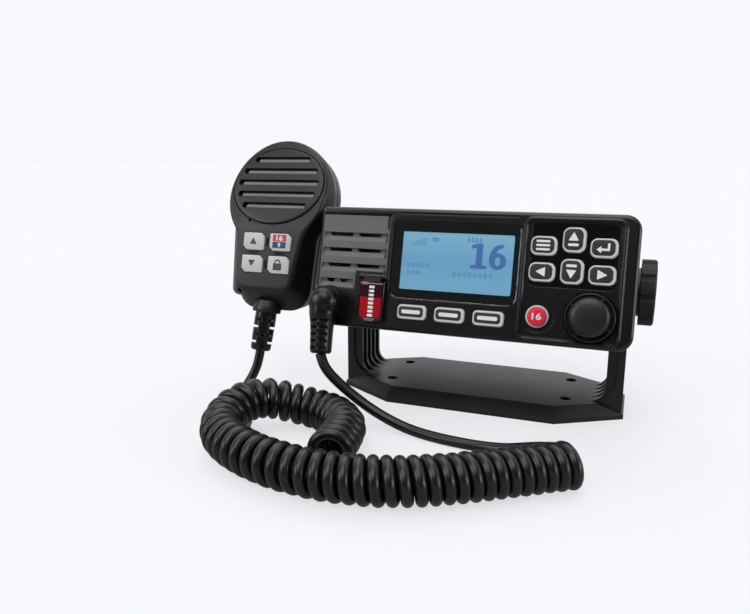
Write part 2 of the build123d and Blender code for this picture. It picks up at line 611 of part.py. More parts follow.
# Microphone socket through the front, and the right-angle boot of the plug that is in it.
COLLAR_R = 9.4
COLLAR_RISE = 2.2
SOCKET_DEPTH = 12.0
ELBOW_R = 8.4
ELBOW_RISE = 16.0
SLEEVE_N = 9.6
SLEEVE_R = 6.2
SLEEVE_END_W = -48.0
SLEEVE_FOOT_U = -71.5
SLEEVE_TOP_U = -73.2

with BuildPart() as mic_socket:
    disc(on_face(PLUG_U, PLUG_W, COLLAR_RISE), COLLAR_R, COLLAR_RISE)
    disc(on_face(PLUG_U, PLUG_W, 0), SOCKET_R, SOCKET_DEPTH)
mic_socket.part.label = "mic_socket"
export_step(mic_socket.part, "parts/mic_socket.step")

sleeve_top = FACE.from_local_coords(Vector(SLEEVE_TOP_U, PLUG_W, SLEEVE_N))
sleeve_end = FACE.from_local_coords(Vector(SLEEVE_FOOT_U, SLEEVE_END_W, SLEEVE_N))
SLEEVE_DIR = (sleeve_top - sleeve_end).normalized()
SLEEVE = Plane(origin=sleeve_end, x_dir=FACE.z_dir, z_dir=SLEEVE_DIR)
SLEEVE_LENGTH = (sleeve_top - sleeve_end).length
RING_GAPS = 4
RING_PITCH = 3.6
RING_GAP = 1.2

with BuildPart() as plug_boot:
    disc(on_face(PLUG_U, PLUG_W, ELBOW_RISE), ELBOW_R, ELBOW_RISE - COLLAR_RISE)
    fillet(plug_boot.faces().sort_by(OUT)[-1].edges(), 3.0)
    with BuildSketch(SLEEVE):
        Circle(SLEEVE_R)
    extrude(amount=SLEEVE_LENGTH)
    fillet(plug_boot.faces().sort_by(Axis.Z)[0].edges(), 1.5)
    for ring in range(RING_GAPS):
        with BuildSketch(SLEEVE.offset((ring + 1) * RING_PITCH)) as groove:
            Circle(SLEEVE_R + 1)
            Circle(SLEEVE_R - 1.0, mode=Mode.SUBTRACT)
        extrude(groove.sketch, amount=RING_GAP, mode=Mode.SUBTRACT)
plug_boot.part.label = "plug_boot"
export_step(plug_boot.part, "parts/plug_boot.step")

# ---------------------------------------------------------------- case

with BuildPart() as face_gasket:
    block(on_face(0, 0, -BEZEL_DEPTH), 2 * CASE_HALF_W, 2 * CASE_HALF_H, -CASE_FRONT - BEZEL_DEPTH, CASE_R)
    block(on_face(0, 0, -BEZEL_DEPTH), *BACK_OPENING, BEZEL_DEPTH, BACK_OPENING_R, mode=Mode.SUBTRACT)
face_gasket.part.label = "face_gasket"
export_step(face_gasket.part, "parts/face_gasket.step")

BOSS_REACH = 9.0
STUD_BOSS_R = 8.0
POST_R = 3.0
POST_U = 48.0
POST_INSET = 8.0
BOARD_W = -14.0
BOARD_WIDTH = 124.0
MAIN_FRONT = -28.0
MAIN_BACK = -94.0
AERIAL_U = 50.0
AERIAL_W = 6.0
AERIAL_STEM_R = 6.9
GLAND_U = 34.0
GLAND_W = -14.0
GLAND_R = 5.0
SCREW_U = 64.0
SCREW_W = 24.0
SCREW_R = 1.5
MIDDLE_N = (MAIN_FRONT + MAIN_BACK) / 2

with BuildPart() as case:
    block(on_face(0, 0, CASE_FRONT), 2 * CASE_HALF_W, 2 * CASE_HALF_H, CASE_FRONT - CASE_BACK, CASE_R)
    block(on_face(0, 0, CASE_FRONT), 2 * (CASE_HALF_W - CASE_WALL), 2 * (CASE_HALF_H - CASE_WALL),
          CASE_FRONT - CASE_BACK - CASE_WALL, CASE_R - 1, mode=Mode.SUBTRACT)
    # Threaded bosses for the clamp studs.
    for side in (-1, 1):
        disc(across(side * (CASE_HALF_W - 1), side), STUD_BOSS_R, BOSS_REACH)
        disc(across(side * CASE_HALF_W, side), STUD_R + 0.05, BOSS_REACH + 2, mode=Mode.SUBTRACT)
    # Posts under the main board, corner posts for the screws and openings in the back wall.
    for u in (-POST_U, POST_U):
        for n in (MAIN_FRONT - POST_INSET, MAIN_BACK + POST_INSET):
            disc(facing_up(u, BOARD_W, n), POST_R, BOARD_W + CASE_HALF_H - 1)
    for u in (-SCREW_U, SCREW_U):
        for w in (-SCREW_W, SCREW_W):
            disc(on_face(u, w, CASE_BACK + 12), POST_R, 11)
            disc(on_face(u, w, CASE_BACK + 10), SCREW_R, 12, mode=Mode.SUBTRACT)
    disc(on_face(AERIAL_U, AERIAL_W, CASE_BACK + 4), AERIAL_STEM_R + 0.1, 6, mode=Mode.SUBTRACT)
    disc(on_face(GLAND_U, GLAND_W, CASE_BACK + 4), GLAND_R, 6, mode=Mode.SUBTRACT)
case.part.label = "case"
export_step(case.part, "parts/case.step")

SINK_U = -22.0
SINK_WIDTH = 76.0
SINK_HEIGHT = 54.0
SINK_SHEET = 4.0
FIN_DEPTH = 9.0
FINS = 10
FIN_SHEET = 2.4
with BuildPart() as heat_sink:
    block(on_face(SINK_U, 0, CASE_BACK), SINK_WIDTH, SINK_HEIGHT, SINK_SHEET, 2.0)
    with BuildSketch(on_face(SINK_U, 0, CASE_BACK - SINK_SHEET)) as fins:
        with GridLocations((SINK_WIDTH - FIN_SHEET) / (FINS - 1), 1, FINS, 1):
            Rectangle(FIN_SHEET, SINK_HEIGHT - 4)
    extrude(fins.sketch, amount=-FIN_DEPTH)
heat_sink.part.label = "heat_sink"
export_step(heat_sink.part, "parts/heat_sink.step")

with BuildPart() as main_board:
    with BuildSketch(facing_up(0, BOARD_W, MIDDLE_N)):
        Rectangle(BOARD_WIDTH, MAIN_FRONT - MAIN_BACK)
    extrude(amount=BOARD_SHEET)
main_board.part.label = "main_board"
export_step(main_board.part, "parts/main_board.step")

CAN_SHEET = 0.6
CAN_HEIGHT = 8.0
CAN_U = -10.0
CAN_WIDTH = 56.0
CAN_DEPTH = 34.0
with BuildPart() as rf_shield:
    with BuildSketch(facing_up(CAN_U, BOARD_W + BOARD_SHEET, MIDDLE_N)) as can:
        Rectangle(CAN_WIDTH, CAN_DEPTH)
    extrude(can.sketch, amount=CAN_HEIGHT)
    with BuildSketch(facing_up(CAN_U, BOARD_W + BOARD_SHEET, MIDDLE_N)) as can_inside:
        Rectangle(CAN_WIDTH - 2 * CAN_SHEET, CAN_DEPTH - 2 * CAN_SHEET)
    extrude(can_inside.sketch, amount=CAN_HEIGHT - CAN_SHEET, mode=Mode.SUBTRACT)
rf_shield.part.label = "rf_shield"
export_step(rf_shield.part, "parts/rf_shield.step")

# Aerial socket: a square flange on the back wall and a threaded barrel of 5/8 inch.
BARREL_AERIAL_R = 7.9
AERIAL_LENGTH = 14.0
AERIAL_FLANGE = 2.0
FLANGE_SIDE = 25.4
with BuildPart() as antenna_socket:
    block(on_face(AERIAL_U, AERIAL_W, CASE_BACK), FLANGE_SIDE, FLANGE_SIDE, AERIAL_FLANGE, 1.5)
    disc(on_face(AERIAL_U, AERIAL_W, CASE_BACK - AERIAL_FLANGE), BARREL_AERIAL_R, AERIAL_LENGTH)
    disc(on_face(AERIAL_U, AERIAL_W, CASE_BACK + 3.5), AERIAL_STEM_R, 5)
    disc(on_face(AERIAL_U, AERIAL_W, CASE_BACK - AERIAL_FLANGE - 2), 2.0, AERIAL_LENGTH, mode=Mode.SUBTRACT)
antenna_socket.part.label = "antenna_socket"
export_step(antenna_socket.part, "parts/antenna_socket.step")

with BuildPart() as power_gland:
    disc(on_face(GLAND_U, GLAND_W, CASE_BACK + 3.5), GLAND_R - 0.05, 4)
    disc(on_face(GLAND_U, GLAND_W, CASE_BACK), GLAND_R + 2, 3)
    disc(on_face(GLAND_U, GLAND_W, CASE_BACK - 3), GLAND_R, 8)
    disc(on_face(GLAND_U, GLAND_W, CASE_BACK + 4), 2.5, 20, mode=Mode.SUBTRACT)
power_gland.part.label = "power_gland"
export_step(power_gland.part, "parts/power_gland.step")

with BuildPart() as case_screws:
    for u in (-SCREW_U, SCREW_U):
        for w in (-SCREW_W, SCREW_W):
            disc(on_face(u, w, CASE_BACK + 9), SCREW_R - 0.05, 9)
            disc(on_face(u, w, CASE_BACK), SCREW_R * 2, 1.8)
case_screws.part.label = "case_screws"
export_step(case_screws.part, "parts/case_screws.step")

# Rubber washers between the case and the bracket's legs.
WASHER_R = 11.0
with BuildPart() as side_washers:
    for side in (-1, 1):
        disc(across(side * (LEG_IN - 0.1), side), WASHER_R, LEG_IN - 0.1 - CASE_HALF_W)
        disc(across(side * (LEG_IN - 0.1), side), STUD_R + 0.3, LEG_IN, mode=Mode.SUBTRACT)
side_washers.part.label = "side_washers"
export_step(side_washers.part, "parts/side_washers.step")

# ---------------------------------------------------------------- microphone

# Grip outline: half width at its top, half width and height at its bottom, and the radius of its lower corners.
GRIP_TOP_W = 18.0
GRIP_AT_FACE = (22.0, 17.7, -16.0, 6.0)
GRIP_AT_SPLIT = (24.6, 23.8, -27.0, 12.0)
GRIP_AT_BACK = (21.4, 20.4, -24.0, 10.0)
HEAD_BACK_R = 31.5
MIC_KEY = (14.0, 10.3)
MIC_KEYS = {
    "mic_key_up": (-129.6, 12.1),
    "mic_key_hi_lo": (-112.1, 12.1),
    "mic_key_down": (-129.6, -1.1),
    "mic_key_lock": (-112.1, -1.1),
}
RELIEF_N = -19.5
RELIEF_R = 6.0
RELIEF_TIP_R = 5.4
RELIEF_TOP = FACE.from_local_coords(Vector(-122.0, -19.0, RELIEF_N))
RELIEF_END = FACE.from_local_coords(Vector(-124.4, -51.7, RELIEF_N))
RELIEF = Plane(origin=RELIEF_END, x_dir=FACE.z_dir, z_dir=(RELIEF_TOP - RELIEF_END).normalized())
RELIEF_LENGTH = (RELIEF_TOP - RELIEF_END).length
LEAN_DIR = (0, -cos(radians(TILT + LEAN)), sin(radians(TILT + LEAN)))
LEAN_UP = (0, sin(radians(TILT + LEAN)), cos(radians(TILT + LEAN)))
MIC_POSTS = ((-25.5, 41.0, -15.5), (25.5, 41.0, -15.5), (-12.0, -13.0, -12.0), (12.0, -13.0, -12.0))
MIC_POST_R = 3.0
MIC_SCREW_R = 1.2
MIC_HEAD_R = 2.2
MIC_HEAD_DEPTH = 1.4

# Push-to-talk bar, in the left side of both shells.
PTT_OUTLINE = [(-139.0, -18.0), (-147.4, -18.0), (-149.8, 20.5), (-141.0, 20.5)]
PTT_FRONT = -15.5
PTT_DEPTH = 12.0
PTT_GAP = 0.3
PTT_ROOM = (4.0, 39.1)
PTT_MIDDLE_W = 1.25
PTT_OUTER_R = 4.0
PTT_INNER_R = 1.5


def grip_outline(n, shrink):
    """Grip at a level. It widens from the face to the split, and narrows from there to the back."""
    if n >= MIC_SPLIT:
        outer, share = GRIP_AT_FACE, (n - MIC_SPLIT) / (MIC_FRONT - MIC_SPLIT)
    else:
        outer, share = GRIP_AT_BACK, (n - MIC_SPLIT) / (MIC_BACK - MIC_SPLIT)
    top_half, bottom_half, bottom_w, corner = [
        split + (end - split) * share for split, end in zip(GRIP_AT_SPLIT, outer)
    ]
    with BuildSketch(on_face(MIC_U, 0, n)) as outline:
        Polygon((shrink - top_half, GRIP_TOP_W), (shrink - bottom_half, bottom_w + shrink),
                (bottom_half - shrink, bottom_w + shrink), (top_half - shrink, GRIP_TOP_W))
        fillet(outline.vertices().group_by(Axis.Y)[0], corner - shrink)
    return outline.sketch.face()


def lean_plane(w, sink):
    """Plane of the microphone's leaning head at a height up the head, sunk by some depth."""
    foot = Vector(MIC_U, LEAN_FOOT_W, MIC_FRONT)
    along = (w - LEAN_FOOT_W) / cos(radians(LEAN))
    middle = FACE.from_local_coords(foot) + Vector(*LEAN_UP) * along - Vector(*LEAN_DIR) * sink
    return Plane(origin=middle, x_dir=(1, 0, 0), z_dir=LEAN_DIR)


def leaning_head(bottom_n, radius, sink):
    """Round head, tapering from a level up to the front, which leans back above its foot."""
    with BuildPart(mode=Mode.PRIVATE) as head:
        with BuildSketch(on_face(MIC_U, HEAD_W, bottom_n)):
            Circle(radius)
        with BuildSketch(on_face(MIC_U, HEAD_W + HEAD_SHIFT, MIC_FRONT - sink)):
            Circle(radius - HEAD_TAPER)
        loft()
        split(bisect_by=lean_plane(HEAD_W, sink), keep=Keep.BOTTOM)
    return head.part


def cut_side_openings():
    """Openings that both shells share: for the push-to-talk bar and for the cord's strain relief."""
    with BuildSketch(on_face(0, 0, PTT_FRONT + PTT_GAP)) as bar_room:
        Polygon(*PTT_OUTLINE)
        offset(amount=PTT_GAP)
        with Locations((PTT_OUTLINE[0][0], PTT_MIDDLE_W)):
            Rectangle(*PTT_ROOM)
    extrude(bar_room.sketch, amount=-PTT_DEPTH - 2 * PTT_GAP, mode=Mode.SUBTRACT)
    with BuildSketch(RELIEF) as relief_room:
        Circle(RELIEF_R + 0.05)
    extrude(relief_room.sketch, amount=RELIEF_LENGTH, mode=Mode.SUBTRACT)


GRILLE_MIDDLE_W = 46.3
GRILLE_SIZE = (59.0, 47.5)
GRILLE_SEAT = 1.2
GRILLE_SHEET = 1.7
GRILLE_LIP = 3.0
MIC_HOLE = (-134.6, 24.6)
MIC_HOLE_R = 0.9

with BuildPart() as mic_front_shell:
    loft([grip_outline(MIC_SPLIT, 0), grip_outline(MIC_FRONT, 0)])
    add(leaning_head(MIC_SPLIT, HEAD_R, 0))
    loft([grip_outline(MIC_SPLIT, MIC_SHELL), grip_outline(MIC_FRONT - MIC_SHELL, MIC_SHELL)], mode=Mode.SUBTRACT)
    add(leaning_head(MIC_SPLIT, HEAD_R - MIC_SHELL, MIC_SHELL), mode=Mode.SUBTRACT)
    for u, w, top_n in MIC_POSTS:
        disc(on_face(MIC_U + u, w, top_n), MIC_POST_R, top_n - MIC_SPLIT)
    with BuildSketch(lean_plane(GRILLE_MIDDLE_W, GRILLE_SEAT)) as grille_seat:
        Ellipse(GRILLE_SIZE[0] / 2 + 0.1, GRILLE_SIZE[1] / 2 + 0.1)
    extrude(grille_seat.sketch, amount=5, mode=Mode.SUBTRACT)
    with BuildSketch(lean_plane(GRILLE_MIDDLE_W, GRILLE_SEAT)) as sound_opening:
        Ellipse(GRILLE_SIZE[0] / 2 - GRILLE_LIP, GRILLE_SIZE[1] / 2 - GRILLE_LIP)
    extrude(sound_opening.sketch, amount=-MIC_SHELL, mode=Mode.SUBTRACT)
    for u, w in MIC_KEYS.values():
        block(on_face(u, w, 0), MIC_KEY[0] + 2 * KEY_GAP, MIC_KEY[1] + 2 * KEY_GAP, -MIC_FRONT + MIC_SHELL, 1.6,
              mode=Mode.SUBTRACT)
    disc(on_face(*MIC_HOLE, 0), MIC_HOLE_R, -MIC_FRONT + 4, mode=Mode.SUBTRACT)
    cut_side_openings()
mic_front_shell.part.label = "mic_front_shell"
export_step(mic_front_shell.part, "parts/mic_front_shell.step")


def back_half(shrink):
    """Back of the microphone, as one block that tapers to its back."""
    with BuildPart(mode=Mode.PRIVATE) as half:
        with BuildSketch(on_face(MIC_U, HEAD_W, MIC_SPLIT)):
            Circle(HEAD_R - shrink)
        with BuildSketch(on_face(MIC_U, HEAD_W, MIC_BACK + shrink)):
            Circle(HEAD_BACK_R - shrink)
        loft()
        loft([grip_outline(MIC_SPLIT, shrink), grip_outline(MIC_BACK + shrink, shrink)])
        if shrink == 0:
            fillet(half.faces().sort_by(OUT)[0].edges(), 3.0)
    return half.part


with BuildPart() as mic_back_shell:
    add(back_half(0))
    add(back_half(MIC_SHELL), mode=Mode.SUBTRACT)
    for u, w, _ in MIC_POSTS:
        disc(on_face(MIC_U + u, w, MIC_SPLIT), MIC_POST_R, MIC_SPLIT - MIC_BACK - 1)
        disc(on_face(MIC_U + u, w, MIC_SPLIT), MIC_SCREW_R + 0.05, MIC_SPLIT - MIC_BACK, mode=Mode.SUBTRACT)
        disc(on_face(MIC_U + u, w, MIC_BACK + MIC_HEAD_DEPTH), MIC_HEAD_R + 0.2, 2, mode=Mode.SUBTRACT)
    cut_side_openings()
mic_back_shell.part.label = "mic_back_shell"
export_step(mic_back_shell.part, "parts/mic_back_shell.step")

MIC_SLOTS = ((62.6, 34.0), (55.4, 47.0), (48.2, 50.0), (41.0, 48.0), (34.0, 40.0))
MIC_SLOT_H = 2.4
with BuildPart() as mic_grille:
    with BuildSketch(lean_plane(GRILLE_MIDDLE_W, GRILLE_SEAT)) as grille_disc:
        Ellipse(GRILLE_SIZE[0] / 2, GRILLE_SIZE[1] / 2)
    extrude(grille_disc.sketch, amount=GRILLE_SHEET)
    chamfer(mic_grille.faces().sort_by(OUT)[-1].edges(), 0.4)
    for w, length in MIC_SLOTS:
        with BuildSketch(lean_plane(w, GRILLE_SEAT)) as mic_slot:
            SlotOverall(length, MIC_SLOT_H)
        extrude(mic_slot.sketch, amount=GRILLE_SHEET, mode=Mode.SUBTRACT)
mic_grille.part.label = "mic_grille"
export_step(mic_grille.part, "parts/mic_grille.step")

for name, (u, w) in MIC_KEYS.items():
    with BuildPart() as mic_key:
        block(on_face(u, w, MIC_FRONT + 1.0), *MIC_KEY, 1.0 + MIC_SHELL + 0.1, 1.3)
        chamfer(mic_key.faces().sort_by(OUT)[-1].edges(), 0.3)
        block(on_face(u, w, MIC_FRONT - MIC_SHELL - 0.1), MIC_KEY[0] + 2 * FLANGE, MIC_KEY[1] + 2 * FLANGE, 1.0, 1.3)
    mic_key.part.label = name
    export_step(mic_key.part, f"parts/{name}.step")

with BuildPart() as ptt_bar:
    with BuildSketch(on_face(0, 0, PTT_FRONT)) as bar_outline:
        Polygon(*PTT_OUTLINE)
        bar_corners = bar_outline.vertices().sort_by(Axis.X)
        fillet(bar_corners[:2], PTT_OUTER_R)
        fillet(bar_corners[2:], PTT_INNER_R)
    extrude(bar_outline.sketch, amount=-PTT_DEPTH)
ptt_bar.part.label = "ptt_bar"
export_step(ptt_bar.part, "parts/ptt_bar.step")

with BuildPart() as strain_relief:
    with BuildSketch(RELIEF) as relief_tip:
        Circle(RELIEF_TIP_R)
    with BuildSketch(RELIEF.offset(RELIEF_LENGTH * 0.7)) as relief_neck:
        Circle(RELIEF_R)
    loft([relief_tip.sketch.face(), relief_neck.sketch.face()])
    extrude(relief_neck.sketch, amount=RELIEF_LENGTH * 0.3)
    for ring in range(5):
        with BuildSketch(RELIEF.offset(3.0 + ring * 3.8)) as relief_groove:
            Circle(RELIEF_R + 1)
            Circle(RELIEF_TIP_R - 0.9 + 0.2 * ring, mode=Mode.SUBTRACT)
        extrude(relief_groove.sketch, amount=1.3, mode=Mode.SUBTRACT)
strain_relief.part.label = "strain_relief"
export_step(strain_relief.part, "parts/strain_relief.step")

BUTTON_STEM = 3.3
BUTTON_R = 6.0
BUTTON_SHEET = 2.5
with BuildPart() as hanger_button:
    disc(on_face(MIC_U, BUTTON_W, MIC_BACK), BUTTON_STEM_R, BUTTON_STEM)
    disc(on_face(MIC_U, BUTTON_W, MIC_BACK - BUTTON_STEM), BUTTON_R, BUTTON_SHEET)
    chamfer(hanger_button.faces().sort_by(OUT)[0].edges(), 0.6)
hanger_button.part.label = "hanger_button"
export_step(hanger_button.part, "parts/hanger_button.step")

# Inside the microphone: a small speaker, the board under the keys and the capsule behind its hole.
MIC_SPEAKER_W = 44.0
MIC_SPEAKER_N = -22.5
MIC_SPEAKER_R = 17.0
MIC_RIM = 4.0
MIC_MAGNET_R = 9.0
MIC_MAGNET_DEPTH = 5.0
with BuildPart() as mic_speaker:
    disc(on_face(MIC_U, MIC_SPEAKER_W, MIC_SPEAKER_N), MIC_SPEAKER_R, MIC_RIM)
    disc(on_face(MIC_U, MIC_SPEAKER_W, MIC_SPEAKER_N - MIC_RIM), MIC_MAGNET_R, MIC_MAGNET_DEPTH)
mic_speaker.part.label = "mic_speaker"
export_step(mic_speaker.part, "parts/mic_speaker.step")

MIC_BOARD = (30.0, 24.0)
MIC_BOARD_W = 2.0
MIC_BOARD_N = -20.0
with BuildPart() as mic_board:
    block(on_face(MIC_U, MIC_BOARD_W, MIC_BOARD_N), *MIC_BOARD, BOARD_SHEET)
mic_board.part.label = "mic_board"
export_step(mic_board.part, "parts/mic_board.step")

CAPSULE_R = 3.0
CAPSULE_N = -13.4
CAPSULE_DEPTH = 5.0
with BuildPart() as mic_capsule:
    disc(on_face(*MIC_HOLE, CAPSULE_N), CAPSULE_R, CAPSULE_DEPTH)
mic_capsule.part.label = "mic_capsule"
export_step(mic_capsule.part, "parts/mic_capsule.step")

with BuildPart() as mic_screws:
    for u, w, _ in MIC_POSTS:
        disc(on_face(MIC_U + u, w, MIC_SPLIT), MIC_SCREW_R, MIC_SPLIT - MIC_BACK - 1)
        disc(on_face(MIC_U + u, w, MIC_BACK + MIC_HEAD_DEPTH), MIC_HEAD_R, MIC_HEAD_DEPTH - 0.1)
mic_screws.part.label = "mic_screws"
export_step(mic_screws.part, "parts/mic_screws.step")

# ---------------------------------------------------------------- cord

LEAD_Z = CORD_R + 0.05
EXIT_RUN = 6.6
COIL_Z = COIL_R + FLOOR_GAP
COIL_HUMP_Z = 16.8
COIL_ROUTE = [
    (63, -106.5, COIL_Z),
    (50, -115.5, COIL_Z),
    (33, -127.5, COIL_Z),
    (16, -139, COIL_Z),
    (-2, -148.5, COIL_Z),
    (-22, -153.5, COIL_Z),
    (-42, -154, COIL_Z),
    (-62, -150.5, COIL_Z),
    (-80, -143, COIL_Z),
    (-94, -133.5, COIL_Z),
    (-102, -120.5, 12.5),
    (-100, -106, COIL_HUMP_Z),
    (-91, -95, COIL_HUMP_Z),
    (-78, -88.5, 12.5),
    (-64, -87.5, COIL_Z),
    (-52, -93, COIL_Z),
    (-43.5, -103.5, COIL_Z),
    (-41, -116, COIL_Z),
    (-45, -127, COIL_Z),
]
PLUG_ROUTE = [
    tuple(sleeve_end),
    tuple(sleeve_end - SLEEVE_DIR * EXIT_RUN),
    (-68.6, -75.2, 23.6),
    (-63.6, -75.4, 18.6),
    (-56.5, -75.3, 13.8),
    (-48.5, -75.4, 9.6),
    (-39.5, -76, 5.9),
    (-29.5, -77.6, 3.4),
    (-18, -80.7, LEAD_Z),
    (-6, -84, LEAD_Z),
    (7, -85.6, LEAD_Z),
    (20, -86.2, 3.6),
    (31, -88.6, 6.6),
    (40, -92.4, 10.4),
    (47, -97.4, 14.2),
    (52, -101.6, 16.9),
]
MIC_ROUTE = [
    tuple(RELIEF_END),
    tuple(RELIEF_END - RELIEF.z_dir * EXIT_RUN),
    (-127, -49.2, 11.5),
    (-129.3, -52.8, 5.8),
    (-129.4, -59, 3.0),
    (-126.8, -66.5, LEAD_Z),
    (-121, -75.5, LEAD_Z),
    (-113, -85, LEAD_Z),
    (-103.5, -94.2, LEAD_Z),
    (-92.5, -104.6, LEAD_Z),
    (-80, -114.6, LEAD_Z),
    (-66, -121.6, LEAD_Z),
    (-54, -125.5, 4.0),
    (-44, -127.5, 6.5),
]


def corner_radii(route):
    """Bend radius at each corner: 0.45 of its shorter run over the tangent of half its turn."""
    radii = []
    for before, corner, after in zip(route, route[1:], route[2:]):
        run_in = Vector(*corner) - Vector(*before)
        run_out = Vector(*after) - Vector(*corner)
        half_turn = radians(run_in.get_angle(run_out) / 2)
        radii.append(0.45 * min(run_in.length, run_out.length) / tan(half_turn))
    return radii


def tube(name, route, radius):
    """Round tube along straight runs joined by tangent arcs."""
    radii = corner_radii(route)
    with BuildPart(mode=Mode.PRIVATE) as pipe:
        with BuildLine() as path:
            FilletPolyline(*route, radius=radii)
        with BuildSketch(Plane(origin=route[0], z_dir=path.line % 0)):
            Circle(radius)
        sweep()
    length = path.wires()[0].length
    print(name, "radii", [round(bend, 1) for bend in radii])
    print(name, "length", round(length, 1), "volume ratio", round(pipe.part.volume / (pi * radius ** 2 * length), 4))
    return pipe.part


with BuildPart() as coil_cord:
    add(tube("coil_cord", COIL_ROUTE, COIL_R))
coil_cord.part.label = "coil_cord"
export_step(coil_cord.part, "parts/coil_cord.step")

with BuildPart() as plug_lead:
    add(tube("plug_lead", PLUG_ROUTE, CORD_R))
    add(coil_cord.part, mode=Mode.SUBTRACT)
plug_lead.part.label = "plug_lead"
export_step(plug_lead.part, "parts/plug_lead.step")

with BuildPart() as mic_lead:
    add(tube("mic_lead", MIC_ROUTE, CORD_R))
    add(coil_cord.part, mode=Mode.SUBTRACT)
mic_lead.part.label = "mic_lead"
export_step(mic_lead.part, "parts/mic_lead.step")
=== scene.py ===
# %% [markdown]
# # A VHF marine radio with its fist microphone
# The radio hangs in a gimbal bracket between two clamp knobs. Its microphone sits on a small sheet hanger
# at the left, and a curly cord runs from the plug in the radio's face, along the floor, to the microphone.
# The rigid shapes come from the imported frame. This lesson dresses them: cords, soft-edged shells, keys and
# finishes.

# %% Load the frame
import math

import bmesh
import bpy
import numpy as np
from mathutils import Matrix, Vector


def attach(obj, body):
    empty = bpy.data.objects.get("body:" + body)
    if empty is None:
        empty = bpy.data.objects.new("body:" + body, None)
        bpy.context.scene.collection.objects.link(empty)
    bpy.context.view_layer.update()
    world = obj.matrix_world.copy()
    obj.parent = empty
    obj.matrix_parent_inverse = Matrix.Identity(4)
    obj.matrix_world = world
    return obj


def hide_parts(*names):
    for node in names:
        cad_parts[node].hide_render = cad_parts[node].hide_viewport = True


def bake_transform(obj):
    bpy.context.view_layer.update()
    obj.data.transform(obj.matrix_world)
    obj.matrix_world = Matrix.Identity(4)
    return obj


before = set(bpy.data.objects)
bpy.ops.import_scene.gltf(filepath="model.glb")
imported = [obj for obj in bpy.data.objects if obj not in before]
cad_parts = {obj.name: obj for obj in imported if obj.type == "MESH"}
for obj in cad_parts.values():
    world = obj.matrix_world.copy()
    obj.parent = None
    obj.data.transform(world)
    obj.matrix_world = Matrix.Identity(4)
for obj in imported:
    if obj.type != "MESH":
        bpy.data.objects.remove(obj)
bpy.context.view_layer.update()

# %% [markdown]
# ## Measures that everything shares
# The radio's face leans back by 14.4 degrees. Positions on it are (u, w, n) in millimetres: u to the right,
# w up the face and n out of it. Two directions, up the face and out of it, turn them into metres in the
# shared frame.

# %% Face positions
MM = 0.001
TILT = math.radians(14.4)
AXIS_Z = 66.8
FACE_AHEAD = 53.0
UP = Vector((0, math.sin(TILT), math.cos(TILT)))
OUT = Vector((0, -math.cos(TILT), math.sin(TILT)))
FACE_ORIGIN = Vector((0, 0, AXIS_Z)) + OUT * FACE_AHEAD


def at(u, w, n):
    """A face position, in metres."""
    return (FACE_ORIGIN + Vector((u, 0, 0)) + UP * w + OUT * n) * MM


print("face origin", [round(x, 4) for x in at(0, 0, 0)])

# %% [markdown]
# ## The camera
# A product shot from the right and a little above. The camera only needs a place, a direction and a lens. A
# constraint could aim it, but two plain angles say the same and are easy to read.

# %% Camera
CAMERA_AT = (0.0797, -0.3839, 0.1373)
CAMERA_YAW = math.radians(21.1)
CAMERA_PITCH = math.radians(12.45)
SENSOR_WIDTH = 36.0
LENS_SHARE = 676 / 750
camera_data = bpy.data.cameras.new("camera")
camera_data.sensor_width = SENSOR_WIDTH
camera_data.lens = LENS_SHARE * SENSOR_WIDTH
camera = bpy.data.objects.new("camera", camera_data)
bpy.context.scene.collection.objects.link(camera)
camera.location = CAMERA_AT
camera.rotation_euler = (math.radians(90) - CAMERA_PITCH, 0, CAMERA_YAW)
bpy.context.scene.camera = camera
print("lens", round(camera_data.lens, 2))

# %% [markdown]
# ## Making meshes from rings
# Nearly every turned or drawn shape here is a row of rings with the same number of points, joined by quads.
# One helper does that for cords, boots, keys and shells.

# %% Ring helper
CORD_R = 2.7


def full_circle(steps):
    """Evenly spaced angles, once round."""
    return [2 * math.pi * k / steps for k in range(steps)]


def linked(name, data):
    """Object for a mesh or a lamp, put in the scene."""
    thing = bpy.data.objects.new(name, data)
    bpy.context.scene.collection.objects.link(thing)
    return thing


def closed_mesh(name, points, faces):
    """Mesh of points and faces, with every face turned outwards."""
    mesh = bpy.data.meshes.new(name)
    mesh.from_pydata(points, [], faces)
    bm = bmesh.new()
    bm.from_mesh(mesh)
    bmesh.ops.recalc_face_normals(bm, faces=bm.faces)
    bm.to_mesh(mesh)
    bm.free()
    return mesh


def joined_rings(name, rings, smooth_angle=35.0):
    """Closed piece from rings of points, each ring as long as the next."""
    count = len(rings[0])
    points = [tuple(p) for ring in rings for p in ring]
    faces = []
    for row in range(len(rings) - 1):
        a, b = row * count, (row + 1) * count
        faces += [(a + i, a + (i + 1) % count, b + (i + 1) % count, b + i) for i in range(count)]
    faces.append(tuple(reversed(range(count))))
    faces.append(tuple((len(rings) - 1) * count + i for i in range(count)))
    return piece_of(name, closed_mesh(name, points, faces), smooth_angle)


def piece_of(name, mesh, smooth_angle=35.0):
    """Object for a mesh, shaded smooth except at edges sharper than an angle."""
    mesh.shade_smooth()
    mesh.set_sharp_from_angle(angle=math.radians(smooth_angle))
    return linked(name, mesh)


def tube(name, line, sides):
    """The cord as a round tube along a row of points. Its cross-section is carried along without twist."""
    line = [Vector(p) for p in line]
    tangents = [(line[min(i + 1, len(line) - 1)] - line[max(i - 1, 0)]).normalized() for i in range(len(line))]
    side = tangents[0].orthogonal().normalized()
    rings = []
    across = [(CORD_R * MM * math.cos(a), CORD_R * MM * math.sin(a)) for a in full_circle(sides)]
    for middle, tangent in zip(line, tangents):
        side = (side - tangent * side.dot(tangent)).normalized()
        other = tangent.cross(side)
        rings.append([middle + side * x + other * y for x, y in across])
    return joined_rings(name, rings, smooth_angle=60)


